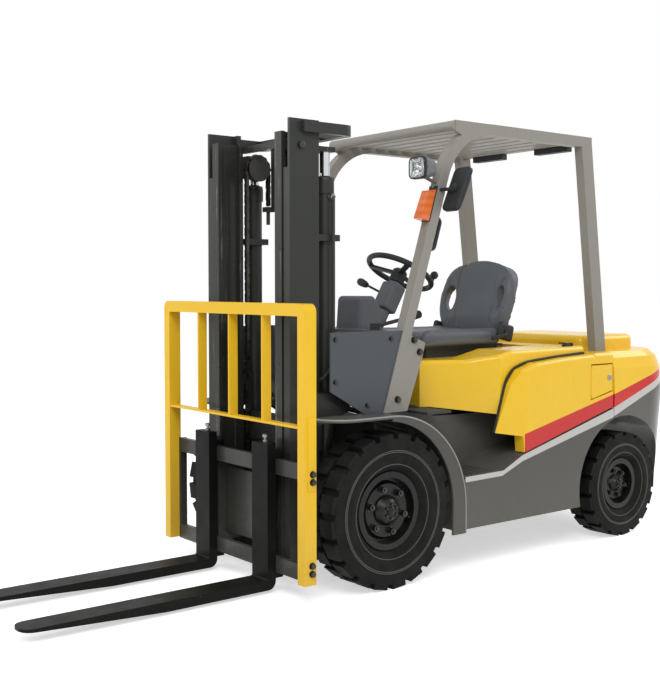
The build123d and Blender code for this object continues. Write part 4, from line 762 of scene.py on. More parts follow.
def rod_shape(radius: float, length: float, edge: float = 0.001, steps: int = 20) -> Shape:
    """A round bar along z with broken edges, centred on the origin.

    Args:
        radius: Its radius.
        length: Its length.
        edge: Width of the broken edges.
        steps: Facets round it.

    Returns:
        The shape.
    """
    half = length / 2
    return turned_shape([(-half, 0.0), (-half, radius - edge), (-half + edge, radius), (half - edge, radius),
                         (half, radius - edge), (half, 0.0)], steps)


def ring_shape(radius: float, section: float, steps: int = 64, facets: int = 10) -> Shape:
    """A round-sectioned ring about z.

    Args:
        radius: Middle of the ring.
        section: Radius of its section.
        steps: Facets round the ring.
        facets: Facets round the section.

    Returns:
        The shape.
    """
    shape = bmesh.new()
    bmesh.ops.create_circle(shape, segments=facets, radius=section,
                            matrix=moved(radius, 0, 0) @ turn(90, "X"))
    bmesh.ops.spin(shape, geom=list(shape.verts) + list(shape.edges), cent=(0, 0, 0), axis=(0, 0, 1),
                   angle=math.tau, steps=steps, use_merge=True)
    bmesh.ops.recalc_face_normals(shape, faces=list(shape.faces))
    return shape


def bolt_shape(across: float, height: float, washer: float = 1.25) -> Shape:
    """A hexagon head on its washer, standing on z = 0 with its top towards +z.

    Args:
        across: Width over the flats.
        height: Height of the head.
        washer: Washer's diameter as a multiple of that width.

    Returns:
        The shape.
    """
    shape = bmesh.new()
    corner = across / math.sqrt(3)
    flat = 0.15 * height
    bmesh.ops.create_cone(shape, cap_ends=True, segments=6, radius1=corner, radius2=corner, depth=height,
                          matrix=moved(0, 0, flat + height / 2))
    bmesh.ops.bevel(shape, geom=list(shape.edges), offset=0.07 * across, segments=2, profile=0.5,
                    affect="EDGES", material=-1)
    wide = washer * across / 2
    bmesh.ops.create_cone(shape, cap_ends=True, segments=20, radius1=wide, radius2=wide, depth=flat,
                          matrix=moved(0, 0, flat / 2))
    return shape


def tube_shape(route: Iterable[Point], radius: float) -> Shape:
    """A bent tube along a smooth route.

    Args:
        route: Control points in the truck's frame.
        radius: The tube's radius.

    Returns:
        The shape.
    """
    curve = bpy.data.curves.new("route", "CURVE")
    curve.dimensions = "3D"
    curve.bevel_depth = radius
    curve.bevel_resolution = 4
    curve.use_fill_caps = True
    spline = curve.splines.new("NURBS")
    points = list(route)
    spline.points.add(len(points) - 1)
    for control, point in zip(spline.points, points):
        control.co = (*point, 1.0)
    spline.order_u = 3
    spline.use_endpoint_u = True
    spline.resolution_u = 8
    holder = bpy.data.objects.new("route", curve)
    mesh = bpy.data.meshes.new_from_object(holder)
    shape = bmesh.new()
    shape.from_mesh(mesh)
    bmesh.ops.remove_doubles(shape, verts=list(shape.verts), dist=1e-6)
    bpy.data.objects.remove(holder)
    bpy.data.curves.remove(curve)
    bpy.data.meshes.remove(mesh)
    return shape


class Form:
    """A mesh in the making: shapes are put in place one by one, then it becomes a finished piece."""

    def __init__(self) -> None:
        """Starts empty."""
        self.shape = bmesh.new()

    def put(self, shape: Shape, *places: Matrix) -> "Form":
        """Adds a copy of a shape at each place, and uses the shape up.

        Args:
            shape: What to add.
            *places: Where the copies go. A mirrored place turns the copy's faces outwards again.

        Returns:
            This form.
        """
        mesh = bpy.data.meshes.new("shape")
        shape.to_mesh(mesh)
        shape.free()
        for place in places:
            copy = mesh.copy()
            copy.transform(place)
            if place.determinant() < 0:
                copy.flip_normals()
            self.shape.from_mesh(copy)
            bpy.data.meshes.remove(copy)
        bpy.data.meshes.remove(mesh)
        return self

    def piece(self, name: str, finish: Finishes, body: str | None, slot: str,
              crease: float = 35.0) -> bpy.types.Object:
        """Makes the finished piece and hangs it on a body.

        Args:
            name: The piece's name.
            finish: Its finish.
            body: The CAD body that carries it, or None to leave it on no body.
            slot: Name of the material slot meant for it; not used.
            crease: Edges sharper than this many degrees stay sharp.

        Returns:
            The new object.
        """
        mesh = bpy.data.meshes.new(name)
        self.shape.to_mesh(mesh)
        self.shape.free()
        mesh.shade_smooth()
        mesh.set_sharp_from_angle(angle=math.radians(crease))
        mesh.materials.append(material_of(finish.value))
        piece = bpy.data.objects.new(name, mesh)
        bpy.context.scene.collection.objects.link(piece)
        if body:
            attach(piece, body)
        LOG.info("piece %s on %s: %d faces", name, body, len(mesh.polygons))
        return piece


# Seat


SETTLE_FRAMES = 20    # steps of the simulation until a pad has swelled


def baked(piece: bpy.types.Object) -> None:
    """Turns a piece's modifiers into mesh, keeping its material.

    Args:
        piece: The piece, whose mesh is replaced.
    """
    graph = bpy.context.evaluated_depsgraph_get()
    mesh = bpy.data.meshes.new_from_object(piece.evaluated_get(graph))
    mesh.name = piece.name
    piece.modifiers.clear()
    piece.data = mesh


def stuffed(piece: bpy.types.Object, pressure: float, cap: float, held: Callable[[Vector], bool]) -> None:
    """Swells a closed skin as foam under a sewn cover does, by cloth simulation with pressure inside.

    Args:
        piece: The pad, with an even mesh.
        pressure: Pressure inside the skin.
        cap: Furthest that a point may move.
        held: Says whether a point of the skin is held by what carries the pad.
    """
    group = piece.vertex_groups.new(name="held")
    group.add([v.index for v in piece.data.vertices if held(v.co)], 1.0, "REPLACE")
    start = [v.co.copy() for v in piece.data.vertices]
    cloth = piece.modifiers.new("stuffing", "CLOTH")
    cloth.settings.use_pressure = True
    cloth.settings.uniform_pressure_force = pressure
    cloth.settings.effector_weights.gravity = 0.0
    cloth.settings.vertex_group_mass = "held"
    cloth.settings.quality = 5
    for step in range(1, SETTLE_FRAMES + 1):
        bpy.context.scene.frame_set(step)
    baked(piece)
    bpy.context.scene.frame_set(1)
    for vertex, old in zip(piece.data.vertices, start):
        shift = vertex.co - old
        if shift.length > cap:
            vertex.co = old + shift * (cap / shift.length)


@dataclass
class Seat:
    """The driver's seat: a stuffed cushion, and a bucket back with an open hand hole in each wing.

    Attributes:
        half: Half width over the seams, a little inside the finished pad.
        front: Cushion's front, from the front axle.
        rear: Cushion's rear.
        low: Cushion's underside.
        high: Cushion's top before it swells.
        back_low: Lower edge of the seat back.
        back_high: Upper edge of the seat back.
        back_y: Front of the seat back at its lower edge.
        lean: How far the back leans rearwards over its height.
        wing: How far the wings come forward.
        thick: Thickness of the back before it swells.
        hole: Middle of a hand hole across and up the flat back, and its half sizes there.
    """

    half: float = 0.236
    front: float = 0.478
    rear: float = 1.036
    low: float = 1.0135
    high: float = 1.079
    back_low: float = 1.040
    back_high: float = 1.450
    back_y: float = 1.070
    lean: float = 0.050
    wing: float = 0.058
    thick: float = 0.070
    hole: tuple[float, float, float, float] = (0.79, 0.52, 0.125, 0.165)

    def build(self) -> None:
        """Makes the cushion, the back and the hinge covers between them."""
        self.cushion()
        self.backrest()
        self.hinges()

    def cushion(self) -> None:
        """The seat cushion, with raised sides, a rolled front edge and two sewn channels."""
        size = (2 * self.half, self.rear - self.front, self.high - self.low)
        middle = (0.0, (self.front + self.rear) / 2, (self.low + self.high) / 2)
        piece = Form().put(box_shape(size, 0.028, 4), at(*middle)).piece(
            "seat_cushion_cover", Finishes.VINYL, "chassis", "seat_vinyl")
        self.even(piece, 0.0065)
        for vertex in piece.data.vertices:
            vertex.co.z += self.crown(vertex.co)
        stuffed(piece, 4.0, 0.009, lambda point: point.z < self.low + 0.006)
        for vertex in piece.data.vertices:
            if vertex.co.z > middle[2]:
                vertex.co.z -= 0.004 * self.valley(abs(vertex.co.x) - 0.62 * self.half)
        self.finish(piece, "seat_cushion")

    def crown(self, point: Vector) -> float:
        """How far the cushion's top rises or dips at a point.

        Args:
            point: A point of the skin in the truck's frame.

        Returns:
            The rise, which fades to nothing at the underside.
        """
        share = max(0.0, (point.z - self.low) / (self.high - self.low))
        across = abs(point.x) / self.half
        along = (point.y - FRONT_AXLE_Y - self.front) / (self.rear - self.front)
        sides = 0.010 * max(0.0, across - 0.55) / 0.45
        dish = 0.012 * math.exp(-(across / 0.45) ** 2) * math.sin(math.pi * min(1.0, max(0.0, along)))
        roll = 0.020 * max(0.0, 1.0 - along / 0.16) ** 2
        return share * (sides - dish - roll)

    def backrest(self) -> None:
        """The seat back, bent round the driver, with a hand hole in each wing."""
        shape = bmesh.new()
        bmesh.ops.create_grid(shape, x_segments=60, y_segments=50, size=1.0)
        inside = [f for f in shape.faces if self.from_hole(f.calc_center_median()) < 1.0]
        bmesh.ops.delete(shape, geom=inside, context="FACES")
        for vertex in shape.verts:
            off = self.from_hole(vertex.co)
            if vertex.is_boundary and off < 1.6:
                self.to_rim(vertex.co, off)
        for vertex in shape.verts:
            vertex.co = Vector(self.bucket(vertex.co.x, (vertex.co.y + 1.0) / 2))
        bmesh.ops.recalc_face_normals(shape, faces=list(shape.faces))
        if shape.faces[0].normal.y > 0:
            bmesh.ops.reverse_faces(shape, faces=list(shape.faces))
        bmesh.ops.solidify(shape, geom=list(shape.faces), thickness=self.thick)
        piece = Form().put(shape, Matrix.Identity(4)).piece(
            "seat_back_cover", Finishes.VINYL, "chassis", "seat_vinyl")
        self.even(piece, 0.0055)
        stuffed(piece, 4.0, 0.008, lambda point: point.z < self.back_low + 0.01)
        for vertex in piece.data.vertices:
            rise = (vertex.co.z - self.back_low) / (self.back_high - self.back_low)
            across = abs(vertex.co.x) / self.width(rise)
            front = vertex.co.y - FRONT_AXLE_Y < self.front_of(across, rise) + 0.4 * self.thick
            if front:
                vertex.co.y += 0.005 * self.valley((across - 0.58) * self.half) * (0.15 < rise < 0.95)
        self.finish(piece, "seat_back")

    def from_hole(self, point: Vector) -> float:
        """Distance from the nearer hand hole's middle on the flat grid, 1 on the hole's rim."""
        across, up, wide, tall = self.hole
        return math.hypot((abs(point.x) - across) / wide, ((point.y + 1) / 2 - up) / tall)

    def to_rim(self, point: Vector, off: float) -> None:
        """Moves a point of the flat grid onto the hand hole's rim.

        Args:
            point: The point, changed in place.
            off: Its distance from the hole's middle, 1 on the rim.
        """
        across, up, _, _ = self.hole
        side = math.copysign(1.0, point.x)
        point.x = side * (across + (abs(point.x) - across) / off)
        point.y = 2 * (up + ((point.y + 1) / 2 - up) / off) - 1

    def width(self, rise: float) -> float:
        """Half width of the back: waisted below and round above.

        Args:
            rise: Share of the back's height.

        Returns:
            The half width there.
        """
        if rise < 0.6:
            return self.half * (0.80 + 0.20 * math.sin(math.pi / 2 * max(0.0, rise) / 0.6))
        return self.half * max(0.05, 1.0 - (max(0.0, rise - 0.6) / 0.415) ** 3.4) ** (1 / 2.6)

    def front_of(self, across: float, rise: float) -> float:
        """The front of the back at a place on it.

        Args:
            across: From 0 at the middle to 1 at either edge.
            rise: From 0 at the lower edge to 1 at the upper.

        Returns:
            Its y from the front axle.
        """
        bell = math.sin(math.pi * (0.20 + 0.78 * min(1.0, max(0.0, rise))))
        lumbar = 0.012 * math.exp(-((rise - 0.28) / 0.18) ** 2)
        return self.back_y + self.lean * rise - self.wing * across ** 2.2 * bell - lumbar

    def bucket(self, across: float, rise: float) -> Point:
        """A point of the back's front face.

        Args:
            across: From -1 at the right edge to 1 at the left.
            rise: From 0 at the lower edge to 1 at the upper.

        Returns:
            The point in the truck's frame.
        """
        tall = self.back_high - self.back_low
        drop = 0.012 * across ** 2 * rise ** 3
        y = self.front_of(abs(across), rise)
        return from_axle(across * self.width(rise), y, self.back_low + rise * tall - drop)

    def valley(self, off: float) -> float:
        """Depth of a sewn channel beside its seam, 1 on the seam itself."""
        return math.exp(-(off / 0.006) ** 2)

    def even(self, piece: bpy.types.Object, voxel: float) -> None:
        """Gives a pad an even skin for the simulation.

        Args:
            piece: The pad.
            voxel: Size of its cells.
        """
        remesh = piece.modifiers.new("even_skin", "REMESH")
        remesh.mode = "VOXEL"
        remesh.voxel_size = voxel
        baked(piece)

    def finish(self, piece: bpy.types.Object, node: str) -> None:
        """Smooths a pad and lets it stand for its CAD solid.

        Args:
            piece: The pad.
            node: The CAD node that it replaces.
        """
        piece.data.shade_smooth()
        smooth = piece.modifiers.new("smooth_cover", "SUBSURF")
        smooth.levels = smooth.render_levels = 1
        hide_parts(node)

    def hinges(self) -> None:
        """Moulded covers over the recline hinges, with the recline lever on the left."""
        form = Form()
        cover = box_shape((0.030, 0.105, 0.085), 0.014, 4)
        form.put(cover, *both(at(0.240, 1.045, 1.072) @ turn(-14, "X")))
        form.put(rod_shape(0.021, 0.012, 0.003), *both(at(0.2575, 1.046, 1.074) @ turn(90, "Y")))
        form.put(box_shape((0.012, 0.110, 0.020), 0.005, 3), at(0.266, 0.975, 1.052) @ turn(9, "X"))
        form.piece("seat_hinge_covers", Finishes.BLACK_PLASTIC, "chassis", "black_plastic")


# Mast


@dataclass
class LiftChains:
    """The two leaf chains: up from the carriage, over the sheaves and down to the outer mast.

    Attributes:
        x: Each chain's distance from the middle.
        sheave_y: Sheaves' axis, from the front axle.
        sheave_z: Its height.
        radius: Middle of the chain on its sheave.
        anchor_z: Chain's end on the carriage.
        fixed_z: Chain's end on the outer mast.
        pitch: From pin to pin.
        plate: Height of a link plate.
        gauge: Thickness of a link plate.
        leaves: Plates side by side, of which every other one belongs to the same link.
        sheave_face: Sheaves' face from their middle.
    """

    x: float = 0.165
    sheave_y: float = -0.200
    sheave_z: float = 1.851
    radius: float = 0.0598
    anchor_z: float = 0.300
    fixed_z: float = 1.690
    pitch: float = 0.0254
    plate: float = 0.0180
    gauge: float = 0.0027
    leaves: int = 8
    sheave_face: float = 0.013

    def build(self) -> None:
        """Makes the front runs, the turns over the sheaves and the rear runs."""
        front, rear = self.sheave_y - self.radius, self.sheave_y + self.radius
        lifted = self.run(front, self.anchor_z).piece(
            "lift_chain_front_runs", Finishes.CHAIN_STEEL, None, "bare_steel")
        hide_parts("lift_chains")
        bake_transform(lifted)
        fixed = self.run(rear, self.fixed_z).piece(
            "lift_chain_rear_runs", Finishes.CHAIN_STEEL, None, "bare_steel")
        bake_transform(fixed)
        self.turns().piece("lift_chain_turns", Finishes.CHAIN_STEEL, "inner_mast", "bare_steel")
        self.bearings().piece("sheave_bearings", Finishes.DARK_BOLT, "inner_mast", "bare_steel")

    def bearings(self) -> Form:
        """Bearing rings and a circlip on each face of the sheaves.

        Returns:
            The rings.
        """
        form = Form()
        for face in (self.sheave_face, -self.sheave_face):
            place = at(self.x + face, self.sheave_y, self.sheave_z) @ turn(90, "Y")
            for radius, wire in ((0.043, 0.0026), (0.030, 0.0020), (0.018, 0.0022)):
                form.put(ring_shape(radius, wire, 40, 8), *both(place))
        return form

    def link(self, odd: int) -> Shape:
        """One link along z with its lower pin, its plates waisted between the pins.

        Args:
            odd: 0 or 1 for the two kinds of link, whose plates lie between each other's.

        Returns:
            The shape.
        """
        plate = bmesh.new()
        bmesh.ops.create_circle(plate, cap_ends=True, segments=12, radius=self.plate / 2)
        for end in (1, -1):
            tip = [v for v in plate.verts if v.co.x * end > 1e-6]
            bmesh.ops.translate(plate, verts=tip, vec=(end * self.pitch / 2, 0, 0))
        waist = [v for v in plate.verts if abs(v.co.x) < 1e-6]
        bmesh.ops.scale(plate, verts=waist, vec=(1.0, 0.78, 1.0))
        made = bmesh.ops.extrude_face_region(plate, geom=list(plate.faces))["geom"]
        bmesh.ops.translate(plate, verts=[v for v in made if isinstance(v, bmesh.types.BMVert)],
                            vec=(0, 0, 0.92 * self.gauge))
        bmesh.ops.recalc_face_normals(plate, faces=list(plate.faces))
        upright = turn(-90, "Y")
        across = [moved((i - self.leaves / 2 + 1) * self.gauge, 0, 0) @ upright
                  for i in range(odd, self.leaves, 2)]
        pin = rod_shape(0.0034, self.leaves * self.gauge + 0.003, 0.0006, 10)
        lower = moved(0, 0, -self.pitch / 2) @ turn(90, "Y")
        return Form().put(plate, *across).put(pin, lower).shape

    def run(self, y: float, low: float) -> Form:
        """Straight runs of both chains at one y, up to the sheaves' axis.

        Args:
            y: Their place, from the front axle.
            low: Their lower end.

        Returns:
            The runs.
        """
        form = Form()
        count = round((self.sheave_z - low) / self.pitch)
        step = (self.sheave_z - low) / count
        for odd in (0, 1):
            places = [at(self.x, y, low + (i + 0.5) * step) for i in range(odd, count, 2)]
            form.put(self.link(odd), *mirrored(places))
        return form

    def turns(self) -> Form:
        """The links that lie on the sheaves.

        Returns:
            The links of both chains.
        """
        form = Form()
        count = round(math.pi * self.radius / self.pitch)
        axis = at(self.x, self.sheave_y, self.sheave_z)
        for odd in (0, 1):
            places = [axis @ turn(-180.0 * (i + 0.5) / count, "X") @ moved(0, -self.radius, 0)
                      for i in range(odd, count, 2)]
            form.put(self.link(odd), *mirrored(places))
        return form


# Wheels


class Side(Enum):
    """A side of the truck, with the place change that takes a left piece there."""

    LEFT = Matrix.Identity(4)
    RIGHT = MIRROR

    @property
    def label(self) -> str:
        """The side's word in the bodies' names."""
        return self.name.lower()


@dataclass(frozen=True)
class Wheel:
    """What is bolted to or moulded on one kind of wheel, drawn for the left side.

    Attributes:
        axle: "front" or "rear".
        x: Middle plane of the wheel.
        y: Axle, from the front axle.
        z: Axle height.
        disc: Wheel disc's outer face, out from the middle plane.
        nuts: Number of wheel nuts.
        circle: Radius of the nuts' circle.
        across: Nuts' width over the flats.
        cap: Hub cap's outer face, out from the middle plane.
        cap_radius: Radius of that face.
        rings: Raised rings on the tyre's side wall, as radius and distance out from the middle plane.
    """

    axle: str
    x: float
    y: float
    z: float
    disc: float
    nuts: int
    circle: float
    across: float
    cap: float
    cap_radius: float
    rings: tuple[tuple[float, float], ...]

    def facing(self, out: float) -> Matrix:
        """A place on the axle whose z axis points outwards, at a distance from the middle plane."""
        return at(self.x + out, self.y, self.z) @ turn(90, "Y")

    def round_axle(self, out: float, radius: float, count: int, start: float = 0.0) -> list[Matrix]:
        """Even places on a circle round the axle.

        Args:
            out: Distance from the middle plane.
            radius: Circle's radius.
            count: Number of places.
            start: Angle of the first one in degrees.

        Returns:
            The places, their z axes pointing outwards.
        """
        axis = self.facing(out)
        spokes = [axis @ turn(start + 360.0 * i / count, "Z") for i in range(count)]
        return [spoke @ moved(radius, 0, 0) for spoke in spokes]

    def build(self) -> None:
        """Dresses the wheels on both sides."""
        for side in Side:
            body = f"{self.axle}_wheel_{side.label}"
            self.fasten(side.value).piece(f"{body}_nuts", Finishes.DARK_BOLT, body, "bare_steel")
            self.close(side.value).piece(f"{body}_cap", Finishes.RIM_BLACK, body, "rim_paint")
            # the side rings take a lighter grey, a painted highlight along the tyres' raised rings
            self.mould(side.value).piece(f"{body}_side_rings", Finishes.HIGHLIGHT_RUBBER_RIB, body, "tyre_rubber")

    def fasten(self, side: Matrix) -> Form:
        """Wheel nuts on their studs, and the small bolts of the hub cap.

        Args:
            side: The place change for one side of the truck.

        Returns:
            The fasteners of that side's wheel.
        """
        form = Form()
        nuts = [side @ place for place in self.round_axle(self.disc, self.circle, self.nuts, 15)]
        form.put(bolt_shape(self.across, 0.75 * self.across, 1.4), *nuts)
        studs = [place @ moved(0, 0, 0.9 * self.across) for place in nuts]
        form.put(rod_shape(0.26 * self.across, 0.6 * self.across, 0.0015, 12), *studs)
        bolts = self.round_axle(self.cap, 0.74 * self.cap_radius, 6)
        return form.put(bolt_shape(0.010, 0.006), *(side @ place for place in bolts))

    def close(self, side: Matrix) -> Form:
        """Domed cap on the hub, the raised collar that the nuts press on, and the tyre's valve.

        Args:
            side: The place change for one side of the truck.

        Returns:
            Cap, collar and valve of that side's wheel.
        """
        form = Form()
        dome = self.cap_radius * 0.5
        profile = [(-0.001, dome), (0.004, dome), (0.008, 0.8 * dome), (0.010, 0.45 * dome), (0.0105, 0)]
        form.put(turned_shape(profile), side @ self.facing(self.cap))
        low, high = self.circle - 0.8 * self.across, self.circle + 0.8 * self.across
        collar = [(-0.002, low), (0.0015, low + 0.002), (0.0015, high - 0.002), (-0.002, high)]
        form.put(turned_shape(collar, 64), side @ self.facing(self.disc))
        valve = self.round_axle(self.disc - 0.004, self.circle + 1.1 * self.across, 1, 70)
        return form.put(rod_shape(0.0045, 0.044, 0.001, 12), *(side @ place for place in valve))

    def mould(self, side: Matrix) -> Form:
        """Raised rings that the mould leaves on the side wall.

        Args:
            side: The place change for one side of the truck.

        Returns:
            The rings of that side's tyre.
        """
        form = Form()
        for radius, out in self.rings:
            form.put(ring_shape(radius, 0.0022, 96, 6), side @ self.facing(out))
        return form


# Lamps and mirrors


LEG_LEAN = 17.49    # front legs of the guard, degrees from upright
LEG_FOOT_Y, LEG_FOOT_Z = 0.067, 0.750    # lower end of their centre line, y from the front axle
LEG_RUN, LEG_RISE = 0.408, 1.295    # how far they go back and up from there


def leg_place(x: float, z: float, ahead: float) -> Matrix:
    """A place on a front leg, its z axis along the leg and its y axis to the rear.

    Args:
        x: Distance from the truck's middle.
        z: Height.
        ahead: Distance in front of the leg's centre line.

    Returns:
        The place.
    """
    y = LEG_FOOT_Y + LEG_RUN * (z - LEG_FOOT_Z) / LEG_RISE
    return at(x, y, z) @ turn(-LEG_LEAN, "X") @ moved(0, -ahead, 0)


def squared(shape: Shape, width: float, height: float, power: float = 5.0) -> Shape:
    """Draws a turned shape of radius 1 out into a rounded rectangle.

    Args:
        shape: Shape about z, changed in place.
        width: Size along x.
        height: Size along y.
        power: How square it gets: 2 is an ellipse.

    Returns:
        The same shape.
    """
    for vertex in shape.verts:
        radius = math.hypot(vertex.co.x, vertex.co.y)
        if radius > 1e-9:
            across, up = vertex.co.x / radius, vertex.co.y / radius
            stretch = radius * (abs(across) ** power + abs(up) ** power) ** (-1.0 / power)
            vertex.co.x = across * stretch * width / 2
            vertex.co.y = up * stretch * height / 2
    return shape


@dataclass
class Lamps:
    """Head lamps, front indicators and tail lamps.

    Attributes:
        head_x: Head lamps' distance from the middle.
        head_y: Their front face, from the front axle.
        head_z: Their height.
        head_size: Width and height of a head lamp.
        signal_x: Indicators' distance from the middle.
        signal_z: Middle of the indicators.
        tail_y: Tail lamps' rear face, from the front axle.
        tail_z: Their height.
    """

    head_x: float = 0.445
    head_y: float = 0.2598
    head_z: float = 1.838
    head_size: tuple[float, float] = (0.112, 0.100)
    signal_x: float = 0.441
    signal_z: float = 1.672
    tail_y: float = 1.435
    tail_z: float = 2.025

    def build(self) -> None:
        """Makes all lamps."""
        self.headlamps()
        self.indicators()
        self.tail_lamps()

    def headlamps(self) -> None:
        """A dark bezel, a bright dish with its bulb cap, and a domed glass on each lamp's front."""
        width, height = self.head_size
        face = both(at(self.head_x, self.head_y, self.head_z) @ turn(90, "X"))
        bezel = turned_shape([(-0.004, 1.0), (0.008, 1.0), (0.012, 0.96), (0.012, 0.88), (0.009, 0.86),
                              (0.0, 0.86)], 64)
        Form().put(squared(bezel, width, height), *face).piece(
            "headlamp_bezels", Finishes.BLACK_PLASTIC, "chassis", "black_plastic")
        dish = turned_shape([(0.0005, 0.0), (0.0008, 0.30), (0.002, 0.55), (0.0045, 0.75), (0.008, 0.88)], 64)
        bulb = turned_shape([(0.0005, 0.22), (0.004, 0.22), (0.006, 0.16), (0.0065, 0.0)], 32)
        Form().put(squared(dish, width, height), *face).put(squared(bulb, width, width, 2.0), *face).piece(
            "headlamp_reflectors", Finishes.REFLECTOR, "chassis", "clear_lens")
        glass = turned_shape([(0.0085, 0.0), (0.0085, 0.87), (0.011, 0.87), (0.0145, 0.6), (0.0165, 0.3),
                              (0.017, 0.0)], 64)
        Form().put(squared(glass, width, height), *face).piece(
            "headlamp_glasses", Finishes.CLEAR_LENS, "chassis", "clear_lens")

    def indicators(self) -> None:
        """Dark base strip behind each orange lens, with a screw at each end."""
        strip = leg_place(self.signal_x, self.signal_z, 0.0275)
        Form().put(box_shape((0.056, 0.005, 0.172), 0.002), *both(strip)).piece(
            "indicator_bases", Finishes.BLACK_PLASTIC, "chassis", "black_plastic")
        screws = [strip @ moved(0, -0.002, end * 0.080) @ turn(90, "X") for end in (1, -1)]
        Form().put(bolt_shape(0.008, 0.004), *mirrored(screws)).piece(
            "indicator_screws", Finishes.BOLT_STEEL, "chassis", "bare_steel")

    def tail_lamps(self) -> None:
        """Red, orange and clear lens on each tail lamp."""
        for name, finish, slot, x, width in (
            ("tail_red_lenses", Finishes.RED_LENS, "red_lens", 0.184, 0.118),
            ("tail_orange_lenses", Finishes.ORANGE_LENS, "orange_lens", 0.273, 0.052),
            ("tail_clear_lenses", Finishes.CLEAR_LENS, "clear_lens", 0.320, 0.034),
        ):
            lens = box_shape((width, 0.010, 0.024), 0.003, 3)
            place = at(x, self.tail_y + 0.003, self.tail_z)
            Form().put(lens, *both(place)).piece(name, finish, "chassis", slot)


@dataclass
class Mirrors:
    """Glass and mounts of the two side mirrors.

    Attributes:
        place: Middle of the left mirror, y from the front axle.
        nod: Degrees that it leans back.
        outward: Degrees that it turns out.
        size: Width and height of the shell.
        thick: Thickness of the shell.
    """

    place: Point = (0.540, 0.4085, 1.745)
    nod: float = 22.0
    outward: float = 8.0
    size: tuple[float, float] = (0.120, 0.212)
    thick: float = 0.022

    def build(self) -> None:
        """Makes glass, rim and ball mount on both sides."""
        shell = at(*self.place) @ turn(-self.outward, "Z") @ turn(-self.nod, "X")
        face = shell @ moved(0, self.thick / 2, 0) @ turn(-90, "X")
        width, height = self.size
        glass = turned_shape([(0.0, 0.90), (0.0015, 0.90), (0.0022, 0.6), (0.0026, 0.0)], 48)
        Form().put(squared(glass, width, height, 4.0), *both(face)).piece(
            "mirror_glasses", Finishes.MIRROR_GLASS, "chassis", "clear_lens")
        rim = turned_shape([(0.0, 1.0), (0.003, 0.985), (0.003, 0.91), (0.0, 0.89)], 48)
        Form().put(squared(rim, width, height, 4.0), *both(face)).piece(
            "mirror_rims", Finishes.BLACK_PLASTIC, "chassis", "black_plastic")
        ball = turned_shape([(-0.004, 0.021), (0.010, 0.020), (0.016, 0.013), (0.020, 0.0)], 24)
        back = shell @ moved(0, -self.thick / 2, 0) @ turn(90, "X")
        Form().put(ball, *both(back)).piece(
            "mirror_mounts", Finishes.BLACK_PLASTIC, "chassis", "black_plastic")


# Driver's place


